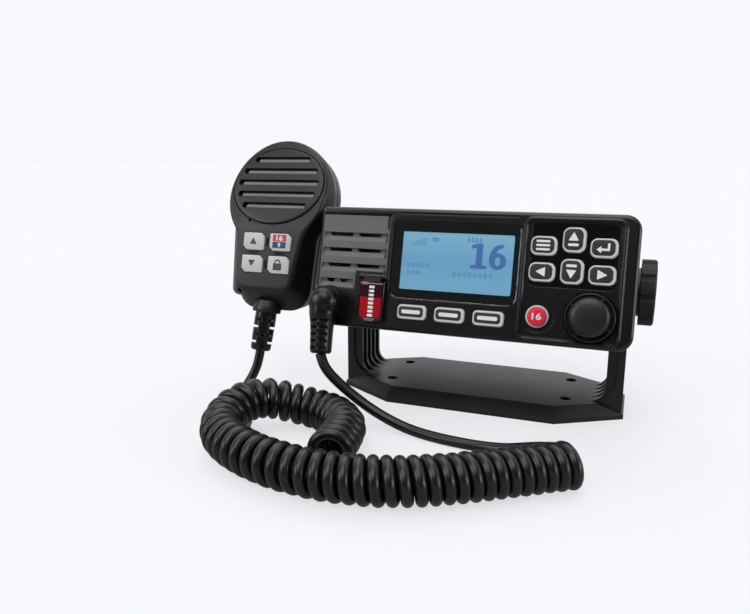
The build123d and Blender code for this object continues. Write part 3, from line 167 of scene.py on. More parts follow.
# %% [markdown]
# ## The routes of the cord
# The cord has three stretches: a plain lead from the plug, the curly part, and a plain lead to the
# microphone. Each follows a smooth NURBS line that its control points pull into shape. The curly part winds
# round its line.

# %% Cord routes
COIL_Z = 10.6
LEAD_Z = 2.75
COIL_ROUTE = [
    (63, -106.5, COIL_Z), (50, -115.5, COIL_Z), (33, -127.5, COIL_Z), (16, -139, COIL_Z),
    (-2, -148.5, COIL_Z), (-22, -153.5, COIL_Z), (-42, -154, COIL_Z), (-62, -150.5, COIL_Z),
    (-80, -143, COIL_Z), (-94, -133.5, COIL_Z), (-102, -120.5, 12.5), (-100, -106, 16.8),
    (-91, -95, 16.8), (-78, -88.5, 12.5), (-64, -87.5, COIL_Z), (-52, -93, COIL_Z),
    (-43.5, -103.5, COIL_Z), (-41, -116, COIL_Z), (-39.5, -127, COIL_Z), (-39, -134.5, COIL_Z),
]
PLUG_ROUTE = [
    (-71.5, -72.6, 35.9), (-69.6, -74.2, 31.5), (-65.6, -75.0, 26.6), (-59.6, -75.2, 21.6),
    (-51.6, -75.3, 15.9), (-41.6, -75.9, 10.2), (-30.6, -77.2, 5.9), (-19.4, -79.4, 3.4),
    (-7.4, -82.2, LEAD_Z), (6, -84.6, LEAD_Z), (20, -86, 3.0), (31, -88, 4.6), (39, -90.6, 7.4),
    (46, -94.5, 10.5), (52, -97.5, 12.6), (56, -98.9, 13.6), (59, -100.7, 13.9),
]
MIC_ROUTE = [
    (-124.4, -45.3, 25.1), (-124.8, -47.0, 18.8), (-127, -49.2, 11.5), (-129.3, -52.8, 5.8),
    (-129.4, -59, 3.0), (-126.8, -66.5, LEAD_Z), (-121, -75.5, LEAD_Z), (-113, -85, LEAD_Z),
    (-103.5, -94.2, LEAD_Z), (-97, -111.5, LEAD_Z), (-87, -121.5, LEAD_Z), (-73, -128.5, LEAD_Z),
    (-61, -133, 3.4), (-49.5, -134.6, 4.2),
]


def line_of(route, detail):
    """Points along the NURBS line that has the route's points as its control points."""
    curve = bpy.data.curves.new("route", "CURVE")
    curve.dimensions = "3D"
    spline = curve.splines.new("NURBS")
    spline.points.add(len(route) - 1)
    for point, (x, y, z) in zip(spline.points, route):
        point.co = (x * MM, y * MM, z * MM, 1)
    spline.order_u = 3
    spline.use_endpoint_u = True
    spline.resolution_u = detail
    carrier = bpy.data.objects.new("route", curve)
    mesh = bpy.data.meshes.new_from_object(carrier)
    line = [v.co.copy() for v in mesh.vertices]
    bpy.data.objects.remove(carrier)
    bpy.data.meshes.remove(mesh)
    bpy.data.curves.remove(curve)
    return line


def length_of(line):
    """Length of a row of points."""
    return sum((b - a).length for a, b in zip(line, line[1:]))


plug_line = line_of(PLUG_ROUTE, 10)
axis_line = line_of(COIL_ROUTE, 24)
print("plug lead", round(length_of(plug_line), 3), "coil axis", round(length_of(axis_line), 3))

# %% [markdown]
# ## Winding the curly part
# On a straight run the turns of a curly cord lie against each other. In a bend they still touch on the
# inside, so the pitch along the axis grows with the bend. Small steady differences between turns keep it
# from looking drawn.

# %% Winding helper
TURN_R = 7.8
TURN_STEPS = 44
TIGHT_PITCH = 5.42
START_ANGLE = math.radians(-25)
AXIS_STEP = 0.0005
BEND_SHARE = 0.35
# Places where the turns stand apart: x, y, reach and the extra pitch.
STRETCHED = ((-62, -151, 28, 1.2), (-80, -90, 20, 1.1))


def evenly(line, step):
    """Points the same distance apart along a row of points."""
    data = np.array([tuple(p) for p in line])
    along = np.concatenate([[0], np.cumsum(np.linalg.norm(np.diff(data, axis=0), axis=1))])
    stops = np.arange(0, along[-1], step)
    return np.stack([np.interp(stops, along, data[:, k]) for k in range(3)], axis=1)


def wind(line, start_angle):
    """Left-handed helix round a line, with its pitch set by the bend of the line."""
    axis = evenly(line, AXIS_STEP)
    heading = np.gradient(axis, AXIS_STEP, axis=0)
    heading /= np.linalg.norm(heading, axis=1)[:, None]
    bend = np.linalg.norm(np.gradient(heading, AXIS_STEP, axis=0), axis=1)
    bend = np.convolve(np.pad(bend, 20, "edge"), np.ones(41) / 41, "valid")
    pitch = TIGHT_PITCH * MM / np.clip(1 - bend * TURN_R * MM * BEND_SHARE, 0.6, 1)
    for x, y, reach, extra in STRETCHED:
        away = np.hypot(axis[:, 0] - x * MM, axis[:, 1] - y * MM) / (reach * MM)
        pitch = pitch + extra * MM * np.exp(-away ** 2)
    turned = start_angle + np.concatenate([[0], np.cumsum(2 * math.pi * AXIS_STEP / pitch)[:-1]])
    steps = int((turned[-1] - turned[0]) / (2 * math.pi) * TURN_STEPS)
    angles = np.linspace(turned[0], turned[-1], steps)
    back = np.cross(np.array([0, 0, 1.0]), heading) * -1
    back /= np.linalg.norm(back, axis=1)[:, None]
    rise = np.cross(back, heading) * -1
    where = np.interp(angles, turned, np.arange(len(axis)))
    places = np.arange(len(axis))
    pick = lambda data: np.stack([np.interp(where, places, data[:, k]) for k in range(3)], axis=1)
    middle, side, top = pick(axis), pick(back), pick(rise)
    turns = angles / (2 * math.pi)
    radius = TURN_R * MM * (1 + 0.012 * np.sin(turns * 1.7) + 0.008 * np.sin(turns * 4.3))
    radius = np.minimum(radius, TURN_R * MM)
    return middle + (np.cos(angles) * radius)[:, None] * side + (np.sin(angles) * radius)[:, None] * top


# %% Cords
coil_line = wind(axis_line, START_ANGLE)
# The coil stops where its last turn comes nearest to the microphone's lead, and the lead runs up to that point.
lead_end = np.array(MIC_ROUTE[-1])
gaps = np.linalg.norm(coil_line[-TURN_STEPS:] / MM - lead_end, axis=1)
coil_line = coil_line[:len(coil_line) - TURN_STEPS + int(np.argmin(gaps)) + 1]
MIC_ROUTE[-1] = tuple(float(v) for v in coil_line[-1] / MM)
mic_line = line_of(MIC_ROUTE, 10)
print("microphone lead", round(length_of(mic_line), 3), "its end moved by", round(float(gaps.min()), 1), "mm")
coil_cord = tube("curly_cord", coil_line, sides=14)
plug_lead = tube("plug_lead_tube", plug_line, sides=18)
mic_lead = tube("microphone_lead_tube", mic_line, sides=18)
print("coil starts", np.round(coil_line[0] / MM, 1), "ends", np.round(coil_line[-1] / MM, 1))
print("lowest point of the coil", round(float(coil_line[:, 2].min()) / MM - CORD_R, 2), "mm")

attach(coil_cord, "bracket")
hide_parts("coil_cord")
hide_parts("plug_lead")
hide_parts("mic_lead")
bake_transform(plug_lead)
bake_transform(mic_lead)
cords = (coil_cord, plug_lead, mic_lead)

# %% [markdown]
# ## Finishes
# Each finish is one Principled shader. Its colour and roughness vary a little with noise at a real scale,
# and a fine bump gives the grain that a spark-eroded mould leaves. A small Bevel node softens the sharp CAD
# edges.

# %% Finish helper
MOTTLE = 0.12
GRAIN_DEPTH = 0.05


def graph_of(owner):
    """Nodes and links of a material or a world."""
    owner.use_nodes = True
    return owner.node_tree.nodes, owner.node_tree.links


def set_sockets(node, **values):
    """Constants on a node's sockets, with _ for a blank in a socket's name."""
    for key, value in values.items():
        node.inputs[key.replace("_", " ")].default_value = value


def added(nodes, kind, **values):
    """New shader node of a kind, with constants on its sockets."""
    node = nodes.new("ShaderNode" + kind)
    set_sockets(node, **values)
    return node


def finish_of(name, color, roughness, grain=0.0, grain_size=0.35, edge=0.25, vary=0.25, clouds=18.0, **sockets):
    """Procedural finish: colour, mottled roughness, mould grain and softened edges, sizes in millimetres."""
    material = bpy.data.materials.new(name)
    nodes, links = graph_of(material)
    shader = nodes["Principled BSDF"]
    set_sockets(shader, **sockets)
    place = added(nodes, "TexCoord")
    wide = added(nodes, "TexNoise", Scale=1000 / clouds, Detail=4)
    links.new(place.outputs["Object"], wide.inputs["Vector"])
    tone = added(nodes, "MixRGB", Color1=(*[c * (1 - vary) for c in color], 1),
                 Color2=(*[min(1, c * (1 + vary)) for c in color], 1))
    links.new(wide.outputs["Fac"], tone.inputs["Fac"])
    links.new(tone.outputs["Color"], shader.inputs["Base Color"])
    rough = added(nodes, "MapRange", To_Min=roughness * (1 - MOTTLE), To_Max=min(1, roughness * (1 + MOTTLE)))
    links.new(wide.outputs["Fac"], rough.inputs["Value"])
    links.new(rough.outputs["Result"], shader.inputs["Roughness"])
    soft = None
    if edge > 0:
        soft = added(nodes, "Bevel", Radius=edge * MM)
        soft.samples = 4
    if grain > 0:
        fine = added(nodes, "TexNoise", Scale=1000 / grain_size, Detail=2)
        links.new(place.outputs["Object"], fine.inputs["Vector"])
        bump = added(nodes, "Bump", Strength=grain, Distance=GRAIN_DEPTH * MM)
        links.new(fine.outputs["Fac"], bump.inputs["Height"])
        if soft:
            links.new(soft.outputs["Normal"], bump.inputs["Normal"])
        links.new(bump.outputs["Normal"], shader.inputs["Normal"])
    elif soft:
        links.new(soft.outputs["Normal"], shader.inputs["Normal"])
    return material


# %% Finishes of this radio
moulded_black = finish_of("moulded_black", (0.007, 0.007, 0.008), 0.32, grain=0.25, edge=0.35)
mic_black = finish_of("microphone_black", (0.013, 0.013, 0.014), 0.36, grain=0.4, edge=0.8,
                      Specular_IOR_Level=0.40)
# Painted highlight: grey for the light that the black floors of the microphone's slots catch.
slot_painted_highlight = finish_of("slot_painted_highlight", (0.24, 0.24, 0.245), 0.5, edge=0.0)
bezel_black = finish_of("bezel_black", (0.005, 0.005, 0.006), 0.26, grain=0.15, edge=0.8)
gloss_black = finish_of("gloss_black", (0.002, 0.002, 0.003), 0.08, edge=0.2, clouds=40)
key_black = finish_of("key_black", (0.016, 0.016, 0.018), 0.5, grain=0.2, edge=0.0)
bracket_black = finish_of("bracket_black", (0.008, 0.008, 0.009), 0.38, grain=0.3, edge=0.4)
cord_black = finish_of("cord_rubber", (0.005, 0.005, 0.0055), 0.30, grain=0.15, grain_size=0.8, edge=0.0,
                       clouds=30, Specular_IOR_Level=0.45)
boot_black = finish_of("boot_rubber", (0.005, 0.005, 0.0055), 0.27, grain=0.2, edge=0.3,
                       Specular_IOR_Level=0.4)
cast_black = finish_of("painted_casting", (0.016, 0.016, 0.017), 0.5, grain=0.6, grain_size=0.6, edge=0.4)
rubber_black = finish_of("soft_rubber", (0.014, 0.014, 0.014), 0.7, grain=0.3, edge=0.3)
key_pale = finish_of("pale_rubber", (0.66, 0.67, 0.68), 0.5, edge=0.2, vary=0.04)
print_white = finish_of("white_print", (0.88, 0.89, 0.9), 0.5, edge=0.0, vary=0.02)
print_dark = finish_of("dark_print", (0.05, 0.05, 0.055), 0.5, edge=0.0, vary=0.05)
print_red = finish_of("red_print", (0.62, 0.03, 0.05), 0.45, edge=0.0, vary=0.06)
print_blue = finish_of("blue_print", (0.02, 0.035, 0.16), 0.45, edge=0.0, vary=0.06)
red_rubber = finish_of("red_rubber", (0.78, 0.016, 0.045), 0.42, grain=0.15, edge=0.2, vary=0.06)
steel = finish_of("steel", (0.56, 0.56, 0.57), 0.3, edge=0.15, vary=0.06, Metallic=1.0)
nickel = finish_of("nickel_plate", (0.66, 0.64, 0.6), 0.2, edge=0.15, vary=0.05, Metallic=1.0)
board_green = finish_of("board_green", (0.015, 0.09, 0.04), 0.4, edge=0.0, vary=0.2)
red_clear = finish_of("clear_red", (0.32, 0.004, 0.02), 0.12, edge=0.0, vary=0.1, Transmission_Weight=0.75,
                      IOR=1.49)
glass_clear = finish_of("clear_window", (0.93, 0.95, 0.97), 0.03, edge=0.0, vary=0.01, Transmission_Weight=1.0,
                        IOR=1.49, Specular_IOR_Level=0.25)
# Painted sheen: the louvres' black plastic is given a mid grey for the sheen that the lamps leave on it.
louvre_painted_sheen = finish_of("louvre_painted_sheen", (0.12, 0.12, 0.124), 0.42, grain=0.3, grain_size=0.5, edge=0.15)
dial_black = finish_of("dial_black", (0.007, 0.007, 0.008), 0.36, grain=0.2, edge=0.15)
cover_pale = finish_of("cover_pale", (0.34, 0.22, 0.30), 0.4, edge=0.0, vary=0.05)
cover_dark = finish_of("cover_dark", (0.018, 0.003, 0.009), 0.1, edge=0.0, vary=0.2, clouds=6)
# Painted shade: the dark pocket under the clear red cover, as seen through it.
cover_painted_shade = finish_of("cover_painted_shade", (0.035, 0.003, 0.012), 0.12, edge=0.0, vary=0.3, clouds=5)
cover_red = finish_of("cover_red", (0.42, 0.006, 0.014), 0.14, edge=0.0, vary=0.18, clouds=6)

# %% Finishes of the frame's solids
FINISHES = (
    (bracket_black, "mounting_bracket mic_hanger"),
    (rubber_black, "left_clamp_knob right_clamp_knob speaker_cone keypad_mat face_gasket power_gland "
                   "side_washers ptt_bar mic_speaker mic_capsule"),
    (steel, "left_stud right_stud hinge_pin encoder encoder_shaft rf_shield case_screws hanger_button "
            "mic_screws"),
    (bezel_black, "front_bezel"),
    (moulded_black, "speaker_grille"),
    (cast_black, "speaker_basket case heat_sink"),
    (gloss_black, "lcd_module keypad_panel"),
    (red_rubber, "distress_key"),
    (red_clear, "distress_cover"),
    (board_green, "front_board main_board mic_board"),
    (dial_black, "rotary_knob"),
    (boot_black, "mic_socket plug_boot strain_relief"),
    (nickel, "antenna_socket"),
    (mic_black, "mic_front_shell mic_back_shell mic_grille"),
    (key_pale, "red_key"),
    (glass_clear, "display_window"),
)
finish_at = {name: material for material, names in FINISHES for name in names.split()}
for name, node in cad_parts.items():
    material = finish_at.get(name, key_pale if "key" in name else rubber_black)
    node.data.materials.clear()
    node.data.materials.append(material)
for piece in cords:
    piece.data.materials.append(cord_black)
print("finishes", len(bpy.data.materials))


# %% Dressing
def dress(piece, body, material, replaced=()):
    """Gives a piece its finish, its body and the node that it stands for."""
    piece.data.materials.clear()
    piece.data.materials.append(material)
    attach(piece, body)
    if replaced:
        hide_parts(*replaced)
    return piece


# %% [markdown]
# ## The microphone's shells
# The fist microphone is a round head over a tapering grip. Its two shells were one outline when they were
# drawn, so one outline function serves both: a circle, a neck and a grip with round corners, softened along
# its length. Rings of that outline are stacked from the parting line to the face, and rolled over at the
# edge. On the left the grip's face keeps its width down to its foot, where the push-to-talk bar meets it.

# %% Microphone outline
MIC_U = -120.3
MIC_SPLIT = -22.0
MIC_FRONT = -10.0
MIC_BACK = -40.0
LEAN = math.radians(12.0)
LEAN_FOOT_W = 22.0
OUTLINE_POINTS = 200
FINE_POINTS = 2000
NECK_W = 18.0
SOFTENING = 2.2
REACH = 60


def outline_at(top_half, bottom_half, bottom_w, corner, head_w, head_r):
    """Microphone outline in (x, w): grip and head as one softened loop from the grip's bottom middle."""
    slope = (top_half - bottom_half) / (NECK_W - bottom_w)
    side = lambda w: bottom_half + slope * (w - bottom_w)
    angles = np.radians(np.linspace(-89, 90, 720))
    circle = np.stack([head_r * np.cos(angles), head_w + head_r * np.sin(angles)], axis=1)
    first = next(i for i in range(len(circle)) if circle[i, 1] > 8 and circle[i, 0] >= side(circle[i, 1]))
    tilt = math.atan(slope)
    turn = math.pi / 2 + tilt
    reach = corner / math.tan((math.pi - turn) / 2)
    middle = np.array([bottom_half - reach, bottom_w + corner])
    arc = np.radians(np.linspace(-90, math.degrees(turn) - 90, 30))
    bend = np.stack([middle[0] + corner * np.cos(arc), middle[1] + corner * np.sin(arc)], axis=1)
    floor_line = np.stack([np.linspace(0, bend[0, 0], 40)[:-1], np.full(39, bottom_w)], axis=1)
    flank = np.linspace(bend[-1], circle[first], 80)[1:-1]
    half = np.concatenate([floor_line, bend, flank, circle[first:]])
    loop = np.concatenate([half, (half * (-1, 1))[::-1][1:-1]])
    loop = np.concatenate([loop, loop[:1]])
    along = np.concatenate([[0], np.cumsum(np.linalg.norm(np.diff(loop, axis=0), axis=1))])
    fine = np.linspace(0, along[-1], FINE_POINTS + 1)[:-1]
    loop = np.stack([np.interp(fine, along, loop[:, k]) for k in range(2)], axis=1)
    spread = SOFTENING / (along[-1] / FINE_POINTS)
    kernel = np.exp(-0.5 * (np.arange(-REACH, REACH + 1) / spread) ** 2)
    kernel /= kernel.sum()
    around = np.concatenate([loop[-REACH:], loop, loop[:REACH]])
    soft = np.stack([np.convolve(around[:, k], kernel, "valid") for k in range(2)], axis=1)
    return soft[:: FINE_POINTS // OUTLINE_POINTS]


SPLIT_OUTLINE = outline_at(top_half=24.6, bottom_half=23.8, bottom_w=-27.0,
                           corner=12.0, head_w=41.0, head_r=34.0)
FRONT_RIGHT = outline_at(top_half=22.0, bottom_half=17.7, bottom_w=-16.0, corner=6.0, head_w=39.5, head_r=30.8)
FRONT_LEFT = outline_at(top_half=21.6, bottom_half=20.4, bottom_w=-16.0, corner=5.0, head_w=39.5, head_r=30.8)
HALF = OUTLINE_POINTS // 2
FRONT_OUTLINE = np.concatenate([FRONT_RIGHT[:HALF + 1], FRONT_LEFT[HALF + 1:]])
BACK_OUTLINE = outline_at(top_half=21.4, bottom_half=20.4, bottom_w=-24.0,
                          corner=10.0, head_w=41.0, head_r=31.5)
tall = float(np.ptp(SPLIT_OUTLINE[:, 1]))
print("microphone outline", len(SPLIT_OUTLINE), "points,", round(tall, 1), "mm high")


def outward(outline):
    """Unit normals of a loop, pointing out."""
    tangent = np.roll(outline, -1, axis=0) - np.roll(outline, 1, axis=0)
    normal = np.stack([tangent[:, 1], -tangent[:, 0]], axis=1)
    return normal / np.linalg.norm(normal, axis=1)[:, None]


def front_height(w):
    """Level of the microphone's front at a height: flat on the grip, leaning back over the head."""
    rise = w - LEAN_FOOT_W
    return MIC_FRONT - math.tan(LEAN) * 0.5 * (rise + np.sqrt(rise ** 2 + 9.0))


def placed(points, levels):
    """Ring of face positions from (x, w) points and their levels."""
    return [at(MIC_U + x, w, n) for (x, w), n in zip(points, levels)]


# %% Rings of the shells
EDGE_R = 1.7
BACK_EDGE_R = 4.0


def spine_pull(points, share):
    """Points drawn towards the middle line of the microphone."""
    spine = np.stack([np.zeros(len(points)), np.clip(points[:, 1], -6, 40)], axis=1)
    return points + (spine - points) * share


def front_rings():
    """Rings of the front shell, from the parting line over the rolled edge to the middle of the face."""
    rings = []
    normal = outward(FRONT_OUTLINE)

    def ring(depth, inset, level=None):
        points = FRONT_OUTLINE.copy()
        for _ in range(4):
            top = front_height(points[:, 1])
            n = top - depth if level is None else np.full(len(points), float(level))
            share = np.clip((n - MIC_SPLIT) / (MIC_FRONT - MIC_SPLIT), 0, 1)[:, None]
            points = SPLIT_OUTLINE + (FRONT_OUTLINE - SPLIT_OUTLINE) * share
        return points - normal * (inset if np.ndim(inset) == 0 else inset[:, None]), n

    for level, inset in ((MIC_SPLIT, 0.5), (MIC_SPLIT + 0.25, 0.1)):
        points, n = ring(0, inset, level)
        rings.append(placed(points, n))
    edge, n_edge = ring(0, 0.0)
    room = np.clip((n_edge - MIC_SPLIT) * 0.75, 0.3, EDGE_R)
    low, n_low = ring(room, 0.0)
    for share in (0.1, 0.4, 0.7):
        n = MIC_SPLIT + 0.4 + (n_low - MIC_SPLIT - 0.4) * share
        s = ((n - MIC_SPLIT) / (MIC_FRONT - MIC_SPLIT))[:, None]
        rings.append(placed(SPLIT_OUTLINE + (FRONT_OUTLINE - SPLIT_OUTLINE) * s, n))
    last = None
    for step in range(8):
        a = math.pi / 2 * step / 7
        points, n = ring(room * (1 - math.sin(a)), room * (1 - math.cos(a)))
        rings.append(placed(points, n))
        last = points
    for share in (0.06, 0.2, 0.4, 0.6, 0.8, 0.96):
        points = spine_pull(last, share)
        rings.append(placed(points, front_height(points[:, 1])))
    return rings


def back_rings():
    """Rings of the back shell, from the parting line past a groove to the middle of the back."""
    rings = []
    normal = outward(BACK_OUTLINE)

    def ring(level, inset):
        share = (MIC_SPLIT - level) / (MIC_SPLIT - MIC_BACK)
        return SPLIT_OUTLINE + (BACK_OUTLINE - SPLIT_OUTLINE) * share - normal * inset

    profile = [(-22.0, 0.5), (-22.25, 0.1), (-22.6, 0.0), (-25.0, 0.0), (-27.7, 0.0), (-28.0, 0.15),
               (-28.15, 0.75), (-28.65, 0.75), (-28.8, 0.15), (-29.1, 0.0), (-32.0, 0.0),
               (MIC_BACK + BACK_EDGE_R, 0.0)]
    for step in range(1, 9):
        a = math.pi / 2 * step / 8
        profile.append((MIC_BACK + BACK_EDGE_R * (1 - math.sin(a)), BACK_EDGE_R * (1 - math.cos(a))))
    for level, inset in profile:
        points = ring(level, inset)
        rings.append(placed(points, [level] * len(points)))
    for share in (0.1, 0.3, 0.6, 0.95):
        inner = spine_pull(points, share)
        rings.append(placed(inner, [MIC_BACK] * len(inner)))
    return rings


# %% [markdown]
# ## Blocks, ovals and cuts
# Keys, pads and rims are blocks that stand on the face: an outline, stacked at a few levels, each with its
# own inset, which rounds the top edge. A hole is the same kind of block, taken out with a Boolean. The
# exact solver is used because it copes with faces that lie in one plane.

# %% Cutting helper
def carved(piece, cutters, smooth_angle=35.0):
    """The piece with the cutters' volumes taken out of it."""
    for cutter in cutters:
        cut = piece.modifiers.new("cut", "BOOLEAN")
        cut.operation = "DIFFERENCE"
        cut.solver = "EXACT"
        cut.object = cutter
    bpy.context.view_layer.update()
    made = bpy.data.meshes.new_from_object(piece.evaluated_get(bpy.context.evaluated_depsgraph_get()))
    piece.modifiers.clear()
    old = piece.data
    piece.data = made
    made.name = piece.name
    bpy.data.meshes.remove(old)
    for cutter in cutters:
        bpy.data.objects.remove(cutter)
    made.shade_smooth()
    made.set_sharp_from_angle(angle=math.radians(smooth_angle))
    return piece


# %% Blocks on the face
def rounded(width, height, corner, steps=7):
    """Round-cornered rectangle about its middle, as points in (x, y)."""
    corner = max(0.05, min(corner, width / 2 - 0.01, height / 2 - 0.01))
    points = []
    for cx, cy, start in ((1, -1, -90), (1, 1, 0), (-1, 1, 90), (-1, -1, 180)):
        for k in range(steps + 1):
            a = math.radians(start + 90 * k / steps)
            points.append((cx * (width / 2 - corner) + corner * math.cos(a),
                           cy * (height / 2 - corner) + corner * math.sin(a)))
    return points


def pad(name, u, w, size, corner, levels):
    """Round-cornered block on the face. Levels are (inset, n) from its foot to its top."""
    rings = []
    for inset, n in levels:
        outline = rounded(size[0] - 2 * inset, size[1] - 2 * inset, corner - inset)
        rings.append([at(u + x, w + y, n) for x, y in outline])
    return joined_rings(name, rings)


def soft_polygon(corners, corner_r, steps=8):
    """Polygon, anticlockwise, with its corners rounded by arcs of one radius, or of one radius each."""
    points = []
    radii = corner_r if isinstance(corner_r, list) else [corner_r] * len(corners)
    ahead, behind = corners[1:] + corners[:1], corners[-1:] + corners[:-1]
    for before, here, after, corner_r in zip(behind, corners, ahead, radii):
        here = Vector(here)
        into, out = (Vector(before) - here).normalized(), (Vector(after) - here).normalized()
        half = into.angle(out) / 2
        middle = here + (into + out).normalized() * (corner_r / math.sin(half))
        first = here + into * (corner_r / math.tan(half)) - middle
        last = here + out * (corner_r / math.tan(half)) - middle
        start = math.atan2(first.y, first.x)
        sweep = (math.atan2(last.y, last.x) - start + math.pi) % (2 * math.pi) - math.pi
        stops = [start + sweep * k / steps for k in range(steps + 1)]
        points += [tuple(middle + Vector((math.cos(a), math.sin(a))) * corner_r) for a in stops]
    return np.array(points)


def poly_pad(name, corners, corner_r, levels):
    """Block on the face from a polygon. Levels are (inset, n) from its foot to its top."""
    outline = soft_polygon(corners, corner_r)
    normal = outward(outline)
    return joined_rings(name, [[at(x, y, n) for x, y in outline - normal * inset] for inset, n in levels])


# %% The leaning head
def head_at(x, y, z):
    """Position on the microphone's leaning front, in metres: x from its middle, y up the lean, z out."""
    up = Vector((0, math.sin(TILT + LEAN), math.cos(TILT + LEAN)))
    out = Vector((0, -math.cos(TILT + LEAN), math.sin(TILT + LEAN)))
    foot = at(MIC_U, LEAN_FOOT_W, MIC_FRONT)
    return foot + (Vector((x, 0, 0)) + up * y + out * z) * MM


def oval(name, middle_y, half_w, half_h, levels, steps=96):
    """Oval block on the leaning front."""
    rings = []
    for inset, z in levels:
        wide, tall = half_w - inset, half_h - inset
        rings.append([head_at(wide * math.cos(a), middle_y + tall * math.sin(a), z)
                      for a in full_circle(steps)])
    return joined_rings(name, rings)


MIC_KEYS = {"mic_key_up": (-129.6, 12.1), "mic_key_hi_lo": (-112.1, 12.1), "mic_key_down": (-129.6, -1.1),
            "mic_key_lock": (-112.1, -1.1)}


def key_corners(u, w, half_w, half_h, cut):
    """Corners of a microphone key: a rectangle with its upper right and lower left corners cut off."""
    return [(u - half_w + cut, w - half_h), (u + half_w, w - half_h), (u + half_w, w + half_h - cut),
            (u + half_w - cut, w + half_h), (u - half_w, w + half_h), (u - half_w, w - half_h + cut)]


DISC_Y = (46.3 - LEAN_FOOT_W) / math.cos(LEAN)
DISC_HALF = (29.5, 23.75)
DISC_GAP = 0.55
# Half width, half height and cut corner of a key's room in the shell, and of its cap.
KEY_ROOM = (7.25, 5.4, 2.5)
KEY_CAP = (6.95, 5.1, 2.4)
KEY_ROOM_DEPTH = 4.2
BAR_GROOVES = ((-120.85, 12.1, (0.9, 5.2)), (-120.85, -1.1, (0.9, 5.2)), (-129.6, 5.45, (6.0, 0.8)),
               (-112.1, 5.45, (6.0, 0.8)))
BAR_DEPTH = 0.9
PINHOLE = (-134.6, 24.6, (1.6, 1.6), 0.8)
SCREW_PLACES = ((-25.5, 41.0), (25.5, 41.0), (-12.0, -13.0), (12.0, -13.0))
SCREW_ROOM = ((4.8, 4.8), 2.4)

# %% Shells with their rooms
front_shell = joined_rings("microphone_front", front_rings())
cutters = [poly_pad("key_room", key_corners(u, w, *KEY_ROOM), 0.9,
                    ((0, MIC_FRONT - KEY_ROOM_DEPTH), (0, MIC_FRONT + 2))) for u, w in MIC_KEYS.values()]
room_half = [half + DISC_GAP for half in DISC_HALF]
cutters.append(oval("disc_room", DISC_Y, *room_half, ((0, -1.9), (0, 6))))
for u, w, size in BAR_GROOVES:
    cutters.append(pad("bar_room", u, w, size, 0.3, ((0, MIC_FRONT - BAR_DEPTH), (0, MIC_FRONT + 2))))
cutters.append(pad("hole_room", *PINHOLE, ((0, MIC_FRONT - 4), (0, MIC_FRONT + 2))))
carved(front_shell, cutters)
back_shell = joined_rings("microphone_back", back_rings())
screw_rooms = [pad("screw_room", MIC_U + u, w, *SCREW_ROOM, ((0, MIC_BACK - 2), (0, MIC_BACK + 1.5)))
               for u, w in SCREW_PLACES]
carved(back_shell, screw_rooms)
for piece, node in ((front_shell, "mic_front_shell"), (back_shell, "mic_back_shell")):
    dress(piece, "microphone", mic_black, (node,))
    print(piece.name, len(piece.data.polygons), "faces")

# %% [markdown]
# ## The microphone's sound slots
# Each slot is a wedge, deepest at its top. A ridge along the middle of each slot is painted grey, a painted
# highlight for the light that the black slot catches.
# The ridges are pieces of their own, because each piece here has one finish.

# %% Grille disc
MIC_SLOTS = ((62.4, 37.0), (55.2, 49.0), (48.0, 53.0), (40.8, 51.0), (33.8, 42.0))
SLOT_HEIGHT = 3.6
SLOT_DEEP = 2.3
SLOT_SHALLOW = 1.6
RIDGE_LEFT = 2.4
RIDGE_RIGHT = 1.2
RIDGE_PROFILE = ((-1.1, -2.2), (-1.1, -0.55), (-0.8, -0.4), (1.0, -0.95), (1.0, -2.2))
DISC_LEVELS = ((0.2, -1.85), (0, -1.6), (0, 0.1), (0.15, 0.42), (0.5, 0.55), (2.0, 0.62), (12.0, 0.75),
               (23.0, 0.8))


def up_the_lean(w):
    """Distance up the leaning front of a height on the face."""
    return (w - LEAN_FOOT_W) / math.cos(LEAN)


def wedge(y, length):
    """Slot cutter: its floor is deep at the top edge and shallow at the bottom edge."""
    outline = rounded(length, SLOT_HEIGHT, SLOT_HEIGHT * 0.42, steps=5)
    floor = [head_at(x, y + dy, -(SLOT_SHALLOW + (SLOT_DEEP - SLOT_SHALLOW) * (dy / SLOT_HEIGHT + 0.5)))
             for x, dy in outline]
    top = [head_at(x, y + dy, 5.0) for x, dy in outline]
    return joined_rings("slot", [floor, top])


disc = oval("microphone_grille", DISC_Y, *DISC_HALF, DISC_LEVELS)
carved(disc, [wedge(up_the_lean(w), length) for w, length in MIC_SLOTS])
dress(disc, "microphone", mic_black, ("mic_grille",))
# Each ridge is a painted highlight, grey on the black slot floor.
for k, (w, length) in enumerate(MIC_SLOTS):
    y = up_the_lean(w)
    ends = (-length / 2 + RIDGE_LEFT, length / 2 - RIDGE_RIGHT)
    lit = joined_rings(f"slot_highlight_ridge_{k}", [[head_at(x, y + dy, z) for dy, z in RIDGE_PROFILE] for x in ends])
    dress(lit, "microphone", slot_painted_highlight)
print("grille disc", len(disc.data.polygons), "faces")

# %% [markdown]
# ## The push-to-talk bar
# A bar in the left side of the microphone. Its outline is a leaning strip with round corners. Its outer
# edge draws in towards the face, so that the bar goes on with the slope of the shell. Both shells get room
# for its travel.

# %% Push-to-talk bar
TALK_LEVELS = ((-27.5, 1.3), (-27.1, 0.4), (-26.2, 0.0), (-21.0, 0.0), (-19.4, 0.5), (-17.6, 1.7),
               (-15.6, 3.4), (-13.8, 5.2), (-12.7, 6.3), (-12.2, 6.8))
TALK_ROOM_LEVELS = ((-27.8, 0.0), (-20.0, 0.0), (-11.9, 6.8))
TALK_GAP = 0.3
TALK_ROOM = 2.2


